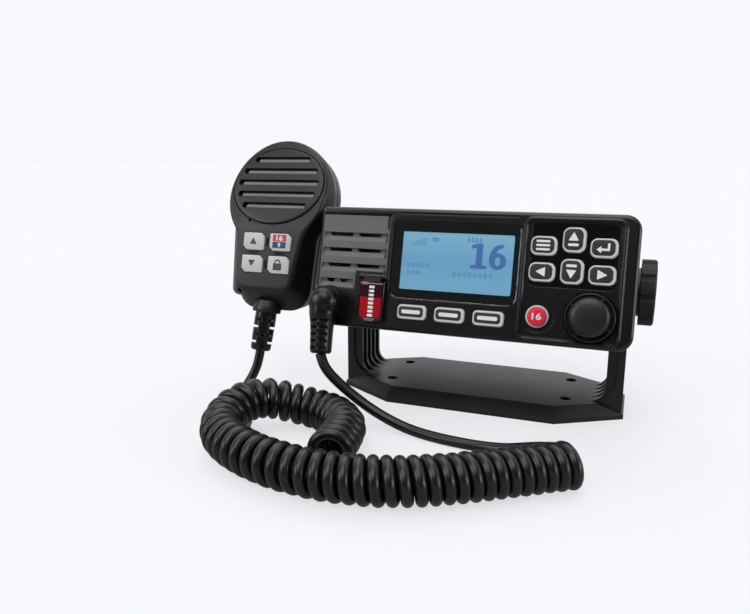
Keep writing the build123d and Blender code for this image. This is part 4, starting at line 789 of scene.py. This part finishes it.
def talk_ring(pull, grow=0.0, travel=0.0):
    """Outline of the bar, with its outer edge pulled in. It can be grown, and widened by the travel."""
    foot, head = -19.8 + 0.35 * pull - grow, 22.6 - 0.3 * pull + grow
    outer, inner = pull - grow, grow + travel
    corners = [(-147.7 + outer, foot), (-139.0 + inner, foot), (-141.0 + inner, head), (-150.1 + outer, head)]
    outer_r = max(0.7, 5.0 - 0.75 * pull)
    return soft_polygon(corners, [outer_r, 0.6, 0.6, min(outer_r, 2.5)])


for shell in (front_shell, back_shell):
    room_rings = [[at(x, y, n) for x, y in talk_ring(pull, TALK_GAP, TALK_ROOM)]
                  for n, pull in TALK_ROOM_LEVELS]
    carved(shell, [joined_rings("talk_room", room_rings)])
ptt = joined_rings("talk_bar", [[at(x, y, n) for x, y in talk_ring(pull)] for n, pull in TALK_LEVELS])
dress(ptt, "push_to_talk", mic_black, ("ptt_bar",))
print("push-to-talk bar", len(ptt.data.polygons), "faces")

# %% [markdown]
# ## Printed marks
# Legends are plain shapes and numbers only. Each is a thin printed layer that lies on its key, built from
# small outlines, so that it stays crisp at any distance.

# %% Marks
INK_THICK = 0.06


def layer(name, outlines, n, body, material, thick=INK_THICK):
    """Thin printed layer from outlines of (u, w) points."""
    points, faces = [], []
    for outline in outlines:
        count, start = len(outline), len(points)
        points += [tuple(at(x, y, level)) for level in (n, n + thick) for x, y in outline]
        faces.append(tuple(start + k for k in reversed(range(count))))
        faces.append(tuple(start + count + k for k in range(count)))
        faces += [(start + k, start + (k + 1) % count, start + count + (k + 1) % count, start + count + k)
                  for k in range(count)]
    return dress(piece_of(name, closed_mesh(name, points, faces)), body, material)


def arrow(u, w, size, heading):
    """Triangle of a width and height, pointing at a heading in degrees."""
    wide, tall = size
    c, s = math.cos(math.radians(heading - 90)), math.sin(math.radians(heading - 90))
    corners = [(-wide / 2, -tall / 2), (wide / 2, -tall / 2), (0, tall / 2)]
    turned_corners = [(u + x * c - y * s, w + x * s + y * c) for x, y in corners]
    return [tuple(p) for p in soft_polygon(turned_corners, 0.25, 3)]


def bar(u, w, width, height, corner=0.3):
    """Small round-cornered bar."""
    return [(u + x, w + y) for x, y in rounded(width, height, corner, 3)]


def number(name, text, u, w, size, n, body, material, slot_name, bold):
    """Plain number, as wide and tall as size, centred on a face position."""
    curve = bpy.data.curves.new(name, "FONT")
    curve.body = text
    curve.size = 1.0
    curve.offset = bold
    curve.resolution_u = 6
    curve.extrude = 0.5
    carrier = bpy.data.objects.new(name, curve)
    mesh = bpy.data.meshes.new_from_object(carrier)
    bpy.data.objects.remove(carrier)
    bpy.data.curves.remove(curve)
    co = np.array([tuple(v.co) for v in mesh.vertices])
    low, high = co.min(0), co.max(0)
    for vertex in mesh.vertices:
        x, y, z = [(vertex.co[k] - low[k]) / (high[k] - low[k]) for k in range(3)]
        vertex.co = at(u + (x - 0.5) * size[0], w + (y - 0.5) * size[1], n + z * INK_THICK)
    mesh.name = name
    return dress(piece_of(name, mesh), body, material)


# %% [markdown]
# ## Keys of the radio
# A key is moulded in pale rubber that lets light through. Its top is painted black up to a narrow rim, and
# the legend is left white. The pale body is the frame's own key; the painted top and the legend lie on it.

# %% Radio keys
KEY_TOP = 1.5
RIM = 1.0
SOFT_RIM = 1.2
TOP_LEFT_BY = 0.38
TOP_UP_BY = 0.22
SOFT_LEGEND = (10.2, 2.0, 0.8)
# Each key: its middle, its size and its corner radius.
RADIO_KEYS = {
    "soft_key_left": (-25.8, -22.0, (15.6, 7.6), 2.2), "soft_key_middle": (-5.8, -22.0, (15.6, 7.6), 2.2),
    "soft_key_right": (14.2, -22.0, (15.6, 7.6), 2.2), "clear_key": (38.5, 15.7, (12.6, 9.4), 3.2),
    "up_key": (52.6, 19.1, (10.8, 12.2), 3.4), "enter_key": (66.5, 15.7, (12.6, 9.4), 3.2),
    "left_key": (38.5, 2.8, (12.6, 9.4), 3.2), "down_key": (52.6, 3.8, (10.8, 12.2), 3.4),
    "right_key": (66.5, 2.8, (12.6, 9.4), 3.2),
}
RETURN_ARROW = [(-3.2, -0.9), (-1.0, -2.6), (-1.0, -1.45), (2.9, -1.45), (2.9, 2.2), (1.8, 2.2), (1.8, -0.35),
                (-1.0, -0.35), (-1.0, 0.8)]
LEGENDS = {
    "clear_key": lambda u, w: [bar(u, w + 2.0, 6.6, 1.05), bar(u, w, 6.6, 1.05), bar(u, w - 2.0, 6.6, 1.05)],
    "enter_key": lambda u, w: [[(u + x, w + y) for x, y in RETURN_ARROW]],
    "up_key": lambda u, w: [arrow(u, w + 1.5, (4.9, 4.2), 90), bar(u, w - 2.6, 4.9, 1.3)],
    "down_key": lambda u, w: [arrow(u, w - 1.5, (4.9, 4.2), -90), bar(u, w + 2.6, 4.9, 1.3)],
    "left_key": lambda u, w: [arrow(u - 0.4, w, (4.8, 4.6), 180)],
    "right_key": lambda u, w: [arrow(u + 0.4, w, (4.8, 4.6), 0)],
}
for name, (u, w, size, corner) in RADIO_KEYS.items():
    body = name + "_body"
    soft = name.startswith("soft")
    rim = SOFT_RIM if soft else RIM
    top_u, top_w = u - TOP_LEFT_BY, w + TOP_UP_BY
    top = pad(name + "_top", top_u, top_w, (size[0] - 2 * rim, size[1] - 2 * rim), corner - 0.6,
              ((0, KEY_TOP - 0.3), (0, KEY_TOP + 0.08), (0.12, KEY_TOP + 0.2), (0.4, KEY_TOP + 0.24)))
    dress(top, body, key_black)
    legend = [bar(u - 0.3, w + 0.15, *SOFT_LEGEND)] if soft else LEGENDS[name](top_u, top_w)
    layer(name + "_legend", legend, KEY_TOP + 0.25, body, print_white)
print("radio keys", len(RADIO_KEYS))

# %% Red key
RED_KEY = (37.9, -18.9)
RED_PROFILE = ((4.72, 1.2), (4.72, 1.75), (4.6, 2.02), (4.2, 2.16), (2.0, 2.22))
red_top = joined_rings("red_key_top", [[at(RED_KEY[0] + r * math.cos(a), RED_KEY[1] + r * math.sin(a), n)
                                        for a in full_circle(64)] for r, n in RED_PROFILE])
dress(red_top, "red_key_body", red_rubber)
number("red_key_number", "16", *RED_KEY, (4.6, 3.3), 2.2, "red_key_body", print_white, "key_grey", bold=0.02)
print("red key", len(red_top.data.polygons), "faces")

# %% [markdown]
# ## The display
# A flat clear window covers a black mask and the lit display behind it. The display glows evenly with a
# slight fade, and its dark segments stop the glow.

# %% Display
def lit_display():
    """Backlit pale blue, lightest at the top and darkest a little above the middle."""
    material = bpy.data.materials.new("lit_display")
    nodes, links = graph_of(material)
    shader = nodes["Principled BSDF"]
    set_sockets(shader, Base_Color=(0.01, 0.02, 0.03, 1), Roughness=0.5, Emission_Strength=1.0)
    place = added(nodes, "TexCoord")
    parts = added(nodes, "SeparateXYZ")
    links.new(place.outputs["Object"], parts.inputs[0])
    height = added(nodes, "MapRange", From_Min=at(0, -10.4, -3.4).z, From_Max=at(0, 20.1, -3.4).z)
    links.new(parts.outputs["Z"], height.inputs["Value"])
    ramp = added(nodes, "ValToRGB")
    ramp.color_ramp.elements[0].color = (0.165, 0.39, 0.55, 1)
    ramp.color_ramp.elements[1].color = (0.20, 0.44, 0.59, 1)
    middle = ramp.color_ramp.elements.new(0.55)
    middle.color = (0.135, 0.35, 0.555, 1)
    links.new(height.outputs["Result"], ramp.inputs["Fac"])
    links.new(ramp.outputs["Color"], shader.inputs["Emission Color"])
    return material


def display_ink(name, color):
    """Dark liquid crystal segment, with a little of the light coming through."""
    material = finish_of(name, (0.01, 0.012, 0.03), 0.5, edge=0.0, vary=0.05)
    set_sockets(material.node_tree.nodes["Principled BSDF"], Emission_Color=(*color, 1), Emission_Strength=1.0)
    return material


# %% Lit panel
LCD = (-5.6, 5.3)
LCD_VIEW = (58.8, 30.5)
INK_N = -3.34
ink_dark = display_ink("display_ink", (0.048, 0.145, 0.36))
ink_faint = display_ink("display_ink_faint", (0.105, 0.28, 0.49))
screen = pad("display_light", *LCD, (60.8, 32.5), 0.6, ((0, -3.49), (0, -3.35)))
dress(screen, "radio", lit_display())


# %% Number and marks
def half_ring(middle, outer, inner, start, end, steps=14):
    """Part of an elliptical ring, as an outline."""
    arcs = [(radii, stops) for radii, stops in ((outer, (start, end)), (inner, (end, start)))]
    return [(middle[0] + radii[0] * math.cos(a), middle[1] + radii[1] * math.sin(a))
            for radii, stops in arcs for a in np.radians(np.linspace(*stops, steps))]


def scaled(outline, u, w, size):
    """Outline drawn in a unit box, placed at a corner with a size."""
    return [(u + x * size[0], w + y * size[1]) for x, y in outline]


one = [(0.0, 0.0), (1.0, 0.0), (1.0, 0.14), (0.73, 0.14), (0.73, 1.0), (0.36, 1.0), (0.02, 0.94), (0.02, 0.80),
       (0.33, 0.83), (0.33, 0.14), (0.0, 0.14)]
six = [half_ring((0.5, 0.33), (0.5, 0.33), (0.16, 0.18), *ends) for ends in ((-90, 90), (90, 270))]
six.append(half_ring((0.66, 0.40), (0.66, 0.60), (0.31, 0.45), 76, 186))
digits = [scaled(one, 2.0, 2.9, (8.2, 12.8))] + [scaled(ring, 11.4, 2.9, (8.8, 12.8)) for ring in six]
for k, outline in enumerate(digits):
    layer(f"channel_number_{k}", [outline], INK_N, "radio", ink_dark, thick=0.06 + 0.004 * k)
small = [bar(-30.8 + 2.6 * k, w, 2.0, 2.2, 0.2) for w, blocks in ((3.1, 5), (-0.9, 3)) for k in range(blocks)]
small += [bar(-29.6 + 1.7 * k, 14.2 + 0.35 * k, 1.1, 1.2 + 0.7 * k, 0.1) for k in range(5)]
small += [bar(-17.4, 16.9, 3.4, 2.4, 0.3), bar(-15.3, 16.9, 0.5, 1.2, 0.1)]
small += [bar(0.4 + 2.0 * k, 17.4, 1.3, 2.6, 0.2) for k in range(4)]
small += [bar(-6.0 + 2.7 * k, -0.6, 1.7, 2.0 if k % 3 else 2.8, 0.3) for k in range(8)]
layer("display_marks", small, INK_N, "radio", ink_faint)

# %% Window and mask
window = pad("window_glass", -6.5, 6.0, (67.0, 42.0), 4.9, ((0, -1.9), (0, -0.55), (0.25, -0.3)))
dress(window, "radio", glass_clear, ("display_window",))
mask = pad("window_mask", -6.5, 6.0, (66.9, 41.9), 4.9, ((0, -2.19), (0, -1.95)))
carved(mask, [pad("mask_room", *LCD, LCD_VIEW, 1.3, ((0, -3), (0, 1)))])
dress(mask, "radio", gloss_black)
print("window over", len(digits), "parts of the number and", len(small), "small marks")

# %% [markdown]
# ## The speaker's louvres
# The insert is a plate with four rows. In each row a slot runs behind a sloping ledge that catches the
# light, and short webs at its ends and middle hold the slats. All of it is cut from one plate. Its black
# plastic is painted mid grey, a painted sheen.

# %% Louvres
def along_u(name, profile, start, end):
    """Bar with a profile of (w, n) points, from u start to u end."""
    return joined_rings(name, [[at(u, w, n) for w, n in profile] for u in (start, end)])


# %% Louvre plate
plate_corners = [(-80.8, -11.95), (-59.45, -11.95), (-59.45, -1.95), (-42.05, -1.95), (-42.05, 27.9),
                 (-80.8, 27.9)]
louvre_plate = poly_pad("speaker_louvres", plate_corners, 0.4, ((0, -3.0), (0, -0.25), (0.25, 0.0)))
TAB_HALF = 1.3
TAB_SLANT = 1.0
LOUVRE_START = -79.8
WEB = 3.0
# Each row: the height of its slot, and how far right it runs. The lowest row makes room for the cover.
LOUVRE_ROWS = ((17.5, -43.0), (9.1, -43.0), (0.7, -43.0), (-7.7, -60.6))
louvre_cutters = []
for slot_w, end in LOUVRE_ROWS:
    ledge = [(slot_w + 0.9, 1.0), (slot_w + 0.9, -0.8), (slot_w - 1.0, -1.2), (slot_w - 1.7, -0.8),
             (slot_w - 2.6, -0.35), (slot_w - 3.6, -0.06), (slot_w - 3.9, 1.0)]
    louvre_cutters.append(along_u("ledge", ledge, LOUVRE_START, end))
    middle = (LOUVRE_START + end) / 2
    for left, right in ((LOUVRE_START + WEB, middle - TAB_HALF), (middle + TAB_HALF, end - WEB)):
        opening = [(left + TAB_SLANT, slot_w - 1.0), (right - TAB_SLANT, slot_w - 1.0),
                   (right, slot_w + 0.85), (left, slot_w + 0.85)]
        louvre_cutters.append(poly_pad("slot", opening, 0.3, ((0, -3.6), (0, 0.8))))
    if end == LOUVRE_ROWS[0][1]:
        louvre_cutters.append(pad("end_groove", end - 0.45, slot_w - 1.4, (0.9, 5.1), 0.2, ((0, -1.6), (0, 1))))
louvre_cutters.append(pad("corner_groove", -42.7, 24.6, (1.5, 7.8), 0.7, ((0, -1.6), (0, 1))))
carved(louvre_plate, louvre_cutters)
dress(louvre_plate, "radio", louvre_painted_sheen, ("speaker_grille",))
print("louvres", len(louvre_plate.data.polygons), "faces")

# %% [markdown]
# ## Turned shapes
# The dial, the plug's boot and the microphone's strain relief are round about an axis. A profile of radius
# and height is turned about that axis. Soft joints between two turned shapes are made by remeshing them
# together.

# %% Turning helper
SLIT_OUTER = 9.0


def turned(name, profile, place, steps=72):
    """Solid of revolution from (radius, height) points. place maps (radius, angle, height) to metres."""
    return joined_rings(name, [[place(max(r, 0.02), a, h) for a in full_circle(steps)] for r, h in profile])


def about_face(u, w):
    """Polar positions about an axis out of the face."""
    return lambda r, a, h: at(u + r * math.cos(a), w + r * math.sin(a), h)


def about_line(foot, head):
    """Polar positions about the line from foot to head, both in metres. Angle 0 points out of the face."""
    axis = (head - foot).normalized()
    first = (OUT - axis * OUT.dot(axis)).normalized()
    second = axis.cross(first)
    return lambda r, a, h: foot + axis * (h * MM) + (first * math.cos(a) + second * math.sin(a)) * (r * MM)


def sector(place, inner, low, tall, start, end, steps=20):
    """Cutter for a slit: part of a ring, from an inner radius outwards and between two angles in degrees."""
    stops = [math.radians(start + (end - start) * k / steps) for k in range(steps + 1)]
    section = ((inner, low), (SLIT_OUTER, low), (SLIT_OUTER, low + tall), (inner, low + tall))
    return joined_rings("slit", [[place(r, a, h) for r, h in section] for a in stops])


def merged(name, parts, voxel, rounds):
    """One smooth skin over several closed pieces."""
    bm = bmesh.new()
    for part in parts:
        bm.from_mesh(part.data)
        bpy.data.objects.remove(part)
    mesh = bpy.data.meshes.new(name)
    bm.to_mesh(mesh)
    bm.free()
    piece = linked(name, mesh)
    skin = piece.modifiers.new("skin", "REMESH")
    skin.mode = "VOXEL"
    skin.voxel_size = voxel * MM
    ease = piece.modifiers.new("ease", "SMOOTH")
    ease.factor = 0.5
    ease.iterations = rounds
    return carved(piece, [], smooth_angle=50)


# %% [markdown]
# ## The dial
# A skirt with four small ribs in a groove, and a domed grip in the middle. Skirt and grip are one profile,
# turned about the dial's axis. The ribs aren't round about it, so they are small blocks at quarter turns.

# %% Dial
DIAL = (62.5, -17.6)
RIB_R = 10.3
RIB_CORNERS = ((-1.3, -0.75), (1.3, -0.75), (1.3, 0.75), (-1.3, 0.75))
dial_place = about_face(*DIAL)
dial_profile = [(8.0, 0.45), (11.6, 0.45), (11.7, 0.6), (11.7, 3.7), (11.55, 4.2), (11.15, 4.45), (10.75, 4.3),
                (10.6, 3.9), (10.45, 3.0), (9.85, 2.9), (9.62, 3.3), (9.5, 5.0), (9.3, 8.6), (9.12, 9.6),
                (8.75, 10.45), (8.15, 11.05), (7.3, 11.4), (6.0, 11.62), (4.0, 11.82), (2.0, 11.93),
                (0.0, 11.96)]
dial = turned("dial", dial_profile, dial_place, steps=96)
dress(dial, "dial", dial_black, ("rotary_knob",))
for k in range(4):
    a = math.radians(148 - 90 * k)
    c, s = math.cos(a), math.sin(a)
    corners = [(DIAL[0] + (RIB_R + x) * c - y * s, DIAL[1] + (RIB_R + x) * s + y * c) for x, y in RIB_CORNERS]
    rib = poly_pad(f"dial_rib_{k}", corners, 0.35, ((0, 2.5), (0, 4.5), (0.25, 4.85)))
    dress(rib, "dial", dial_black)
print("dial", len(dial.data.polygons), "faces")

# %% [markdown]
# ## The plug's boot and the strain relief
# The boot is a rounded bulb over the socket that flows into a sleeve. The sleeve, and the relief under the
# microphone, are cut by short slits that leave a web between them, so that they bend without kinking the
# cord. The relief's slits lie crosswise in turn, and a flat hood joins it to the grip.

# %% Boot
PLUG = (-72.5, -20.3)
BOOT_VOXEL = 0.42
BOOT_ROUNDS = 8
BOOT_RINGS = 5
BOOT_PITCH = 3.6
BOOT_FACING = 4
bulb_place = about_face(*PLUG)
bulb_profile = [(7.6, 2.3), (8.4, 2.7), (8.65, 4.5), (8.7, 7.0), (8.5, 9.4), (7.9, 11.7), (6.9, 13.6),
                (5.4, 15.0), (3.4, 15.8), (1.4, 16.1)]
sleeve_foot, sleeve_head = at(-71.5, -48.0, 9.4), at(-73.0, -20.3, 8.6)
sleeve_place = about_line(sleeve_foot, sleeve_head)
sleeve_profile = [(4.6, 0.0), (5.4, 0.5), (5.75, 1.4), (5.9, 6.0), (6.1, 12.0), (6.5, 17.0), (7.2, 21.0),
                  (7.4, 26.0), (5.0, 28.0)]
boot_parts = [turned("bulb", bulb_profile, bulb_place), turned("sleeve", sleeve_profile, sleeve_place)]
boot = merged("plug_boot_skin", boot_parts, BOOT_VOXEL, BOOT_ROUNDS)
slits = [sector(sleeve_place, 4.0, 2.4 + BOOT_PITCH * ring, 1.4, turn - 54, turn + 50)
         for ring in range(BOOT_RINGS) for turn in (BOOT_FACING, BOOT_FACING + 180)]
carved(boot, slits, smooth_angle=45)
dress(boot, "radio", boot_black, ("plug_boot",))
print("boot", len(boot.data.polygons), "faces")

# %% Strain relief
RELIEF_RINGS = 4
RELIEF_PITCH = 4.5
RELIEF_FACING = 28
RELIEF_ARC = 116
relief_foot, relief_head = at(-124.4, -51.7, -19.5), at(-122.0, -19.0, -19.5)
relief_place = about_line(relief_foot, relief_head)
relief_profile = [(4.6, 0.0), (5.5, 0.4), (5.9, 1.3), (6.05, 5.0), (6.25, 14.0), (6.3, 20.0), (6.1, 25.5)]
relief = turned("strain_relief_skin", relief_profile, relief_place, steps=64)
slits = []
for ring in range(RELIEF_RINGS):
    turn = RELIEF_FACING + (0 if ring % 2 else 90)
    for start in (turn - RELIEF_ARC // 2, turn + 180 - RELIEF_ARC // 2):
        slits.append(sector(relief_place, 3.4, 4.1 + RELIEF_PITCH * ring, 1.6, start, start + RELIEF_ARC))
carved(relief, slits, smooth_angle=45)
dress(relief, "microphone", boot_black, ("strain_relief",))
hood_profile = [(6.1, 22.8), (6.6, 23.0), (6.8, 23.6), (6.8, 25.0), (6.4, 27.0), (5.6, 30.0)]
HOOD_STRETCH = 1.3


def hood_place(r, a, h):
    """Positions about the relief's axis, stretched across the microphone."""
    spot = relief_place(r, a, h)
    axis_u = relief_place(0, 0, h).x
    return Vector((axis_u + (spot.x - axis_u) * HOOD_STRETCH, spot.y, spot.z))


dress(turned("relief_hood", hood_profile, hood_place, steps=64), "microphone", mic_black)
print("relief", len(relief.data.polygons), "faces")

# %% [markdown]
# ## Marks on the microphone
# Each key has its own cap, which moves with the key. On the caps are two dark arrows, a red and a blue band
# with numbers, and a padlock.

# %% Key caps
MIC_KEY_TOP = -9.0
for name, (u, w) in MIC_KEYS.items():
    key = poly_pad(name + "_cap", key_corners(u, w, *KEY_CAP), 0.8,
                   ((0, -13.0), (0, MIC_KEY_TOP - 0.5), (0.15, MIC_KEY_TOP - 0.15), (0.5, MIC_KEY_TOP)))
    dress(key, name + "_body", key_pale, (name,))
print("key caps", len(MIC_KEYS))

# %% Marks on the caps
MARK_U = -112.6
SHACKLE_W = -0.2
shackle = [(MARK_U + r * math.cos(math.radians(a)), SHACKLE_W + r * math.sin(math.radians(a)) * 1.15)
           for r, stops in ((2.1, range(0, 181, 15)), (1.35, range(180, -1, -15))) for a in stops]
MIC_MARKS = (
    ("mic_up_mark", [arrow(-129.9, 12.4, (4.6, 4.0), 90)], "mic_key_up", print_dark, "matte_black"),
    ("mic_down_mark", [arrow(-129.9, -0.9, (4.6, 4.0), -90)], "mic_key_down", print_dark, "matte_black"),
    ("mic_red_band", [bar(MARK_U, 14.6, 8.6, 3.9, 0.2)], "mic_key_hi_lo", print_red, "red_plastic"),
    ("mic_blue_band", [bar(MARK_U, 10.5, 8.6, 3.6, 0.2)], "mic_key_hi_lo", print_blue, "matte_black"),
    ("mic_lock_mark", [bar(MARK_U, -2.2, 5.4, 4.0, 0.4), shackle], "mic_key_lock", print_dark, "matte_black"),
)
for name, outlines, key_name, material, slot_name in MIC_MARKS:
    layer(name, outlines, MIC_KEY_TOP, key_name + "_body", material)
MIC_NUMBERS = (("mic_red_number", "16", 14.6, (4.4, 3.0)), ("mic_blue_number", "9", 10.5, (1.8, 2.8)))
for name, text, w, size in MIC_NUMBERS:
    number(name, text, MARK_U, w, size, MIC_KEY_TOP + INK_THICK, "mic_key_hi_lo_body", print_white, "key_grey",
           bold=0.03)
print("microphone marks", len(MIC_MARKS), "and numbers", len(MIC_NUMBERS))

# %% [markdown]
# ## The cover
# The cover is a dark shell with a rounded lip, a hinge barrel and a strap. Its face is a dusky field above
# a red one. The dusky field is painted shade, the dark pocket seen through the clear red cover, and the red
# one is the red key under it. Plain pale dashes run down the middle and thin pale lines lie at its top and
# foot. The dashes and lines lie a little above the fields, so that no two printed faces share a plane.

# %% Cover
COVER_U = -48.4
COVER_TOP = 3.2
HINGE_ENDS = (COVER_U - 4.8, COVER_U + 4.8)
LIP = [(7.1 * math.cos(a), 2.3 * math.sin(a)) for a in np.radians(np.linspace(180, 360, 25))]
COVER_HALF = 7.1
COVER_HEAD = -7.5
lip_points = [(COVER_U + x, -26.8 + y) for x, y in LIP]
cover_outline = np.array(lip_points + [(COVER_U + COVER_HALF, COVER_HEAD), (COVER_U - COVER_HALF, COVER_HEAD)])
cover_normal = outward(cover_outline)
shell_rings = [[at(x, y, n) for x, y in cover_outline - cover_normal * inset]
               for inset, n in ((0.15, 0.3), (0.0, 0.5), (0.0, 2.7), (0.15, 3.0), (0.5, COVER_TOP))]
cover = joined_rings("cover_shell", shell_rings)
dress(cover, "cover", cover_dark, ("distress_cover",))
barrel = [(-4.8 + 1.5 * math.cos(a), 1.7 + 1.5 * math.sin(a)) for a in full_circle(24)]
dress(along_u("cover_barrel", barrel, *HINGE_ENDS), "cover", moulded_black)
strap = [(-8.0, 1.8), (-4.8, 1.8), (-4.8, 3.1), (-8.0, 3.1)]
dress(along_u("cover_strap", strap, *HINGE_ENDS), "cover", moulded_black)

# %% Fields of the cover, the upper one painted shade, and its printed marks
# The upper field is painted shade of the pocket seen through the cover; the red field is the red key under it.
layer("cover_painted_shade", [bar(COVER_U, -12.4, 12.0, 6.2, 0.4)], COVER_TOP, "cover", cover_painted_shade)
red_part = [(COVER_U - 5.9, -15.9), (COVER_U - 5.9, -26.6), (COVER_U + 5.9, -26.6), (COVER_U + 5.9, -15.9)]
red_part = soft_polygon(red_part, [0.4, 2.6, 2.6, 0.4])
layer("cover_red", [red_part], COVER_TOP, "cover", cover_red)
marks = [bar(COVER_U, -8.6, 12.6, 0.55, 0.2), bar(COVER_U, -27.35, 6.0, 0.4, 0.1),
         bar(COVER_U, -28.1, 4.6, 0.4, 0.1)]
layer("cover_lines", marks, COVER_TOP + 0.06, "cover", cover_pale, thick=0.03)
DASHES = 8
DASH_PITCH = 2.15
dashes = [bar(COVER_U + 0.3, -10.4 - DASH_PITCH * k, 2.9, 1.35, 0.3) for k in range(DASHES)]
layer("cover_dashes", dashes, COVER_TOP + 0.07, "cover", print_white, thick=0.04)
print("cover", len(cover.data.polygons), "faces,", len(dashes), "dashes")

# %% [markdown]
# ## Floor, backdrop and light
# The floor is a plain pale sheet. Its colour to the camera matches the backdrop, and it keeps the soft
# shadow. Four wide, even lamps stand at the front, overhead, at the left and at the right, and leave no
# falloff on the floor. The world is bright behind the object and dim in front of it, which keeps black
# plastic black.

# %% Stage and light
BACKDROP = (0.925, 0.94, 0.965, 1)
FLOOR_GLOW = 0.71
FLOOR_COLOR = (0.22, 0.223, 0.228, 1)
FLOOR_HALF = 12.0
MIRRORED_SHARE = 0.3


def math_node(nodes, links, operation, first, second):
    """Output of a Math node over two outputs, or an output and a number."""
    node = added(nodes, "Math")
    node.operation = operation
    for socket, value in zip(node.inputs, (first, second)):
        if isinstance(value, float):
            socket.default_value = value
        else:
            links.new(value, socket)
    return node.outputs[0]


def camera_and_mirrored(nodes, links):
    """Outputs that are 1 for rays from the camera, and for rays that come off or through a piece."""
    rays = added(nodes, "LightPath").outputs
    mirrored = math_node(nodes, links, "MAXIMUM", rays["Is Glossy Ray"], rays["Is Transmission Ray"])
    return rays["Is Camera Ray"], mirrored


# %% Floor
def stage_floor():
    """Pale floor that takes the shadow."""
    mesh = bpy.data.meshes.new("floor")
    corners = [(x * FLOOR_HALF, y * FLOOR_HALF, 0) for x, y in ((-1, -1), (1, -1), (1, 1), (-1, 1))]
    mesh.from_pydata(corners, [], [(0, 1, 2, 3)])
    floor = linked("floor", mesh)
    material = bpy.data.materials.new("floor")
    nodes, links = graph_of(material)
    nodes.clear()
    diffuse = added(nodes, "BsdfDiffuse", Color=FLOOR_COLOR)
    glow = added(nodes, "Emission", Color=BACKDROP)
    from_camera, mirrored = camera_and_mirrored(nodes, links)
    dimmed = math_node(nodes, links, "MULTIPLY", mirrored, MIRRORED_SHARE)
    shown = math_node(nodes, links, "MAXIMUM", from_camera, dimmed)
    links.new(math_node(nodes, links, "MULTIPLY", shown, FLOOR_GLOW), glow.inputs["Strength"])
    both = added(nodes, "AddShader")
    links.new(diffuse.outputs[0], both.inputs[0])
    links.new(glow.outputs[0], both.inputs[1])
    output = added(nodes, "OutputMaterial")
    links.new(both.outputs[0], output.inputs["Surface"])
    mesh.materials.append(material)


# %% Lamp and world
def sun_lamp(name, towards, spread, strength):
    """Even light from one direction, as wide as a soft box of that many degrees."""
    lamp = bpy.data.lights.new(name, "SUN")
    lamp.angle = math.radians(spread)
    lamp.energy = strength
    thing = linked(name, lamp)
    thing.location = Vector(towards).normalized()
    thing.rotation_euler = Vector(towards).to_track_quat("Z", "Y").to_euler()


def world_light():
    """World: the backdrop to the camera, and to everything else bright behind and above, dim in front."""
    world = bpy.data.worlds.new("studio")
    bpy.context.scene.world = world
    nodes, links = graph_of(world)
    nodes.clear()
    place = added(nodes, "TexCoord")
    parts = added(nodes, "SeparateXYZ")
    links.new(place.outputs["Generated"], parts.inputs[0])
    behind = added(nodes, "MapRange", From_Min=-0.5, From_Max=0.55)
    behind.interpolation_type = "SMOOTHSTEP"
    links.new(parts.outputs["Y"], behind.inputs["Value"])
    lit = added(nodes, "Background", Color=(0.97, 0.985, 1.0, 1))
    strength = math_node(nodes, links, "MULTIPLY", behind.outputs["Result"], 0.9)
    links.new(math_node(nodes, links, "ADD", strength, 0.1), lit.inputs["Strength"])
    seen = added(nodes, "Background", Color=BACKDROP)
    from_camera, mirrored = camera_and_mirrored(nodes, links)
    mirrored = math_node(nodes, links, "MULTIPLY", mirrored, behind.outputs["Result"])
    mix = added(nodes, "MixShader")
    links.new(math_node(nodes, links, "MAXIMUM", from_camera, mirrored), mix.inputs["Fac"])
    links.new(lit.outputs[0], mix.inputs[1])
    links.new(seen.outputs[0], mix.inputs[2])
    output = added(nodes, "OutputWorld")
    links.new(mix.outputs[0], output.inputs["Surface"])


# %% Light
# Each lamp: its direction, its spread in degrees and its strength.
LAMPS = {
    "front_high": ((-0.05, -0.52, 0.85), 46, 1.4), "overhead": ((-0.15, 0.35, 0.92), 50, 0.8),
    "left": ((-0.66, -0.64, 0.39), 28, 0.85), "right": ((0.95, -0.15, 0.16), 26, 0.8),
}
stage_floor()
for name, settings in LAMPS.items():
    sun_lamp(name, *settings)
world_light()
bpy.context.scene.view_settings.view_transform = "Standard"
print("lamps", len(LAMPS))
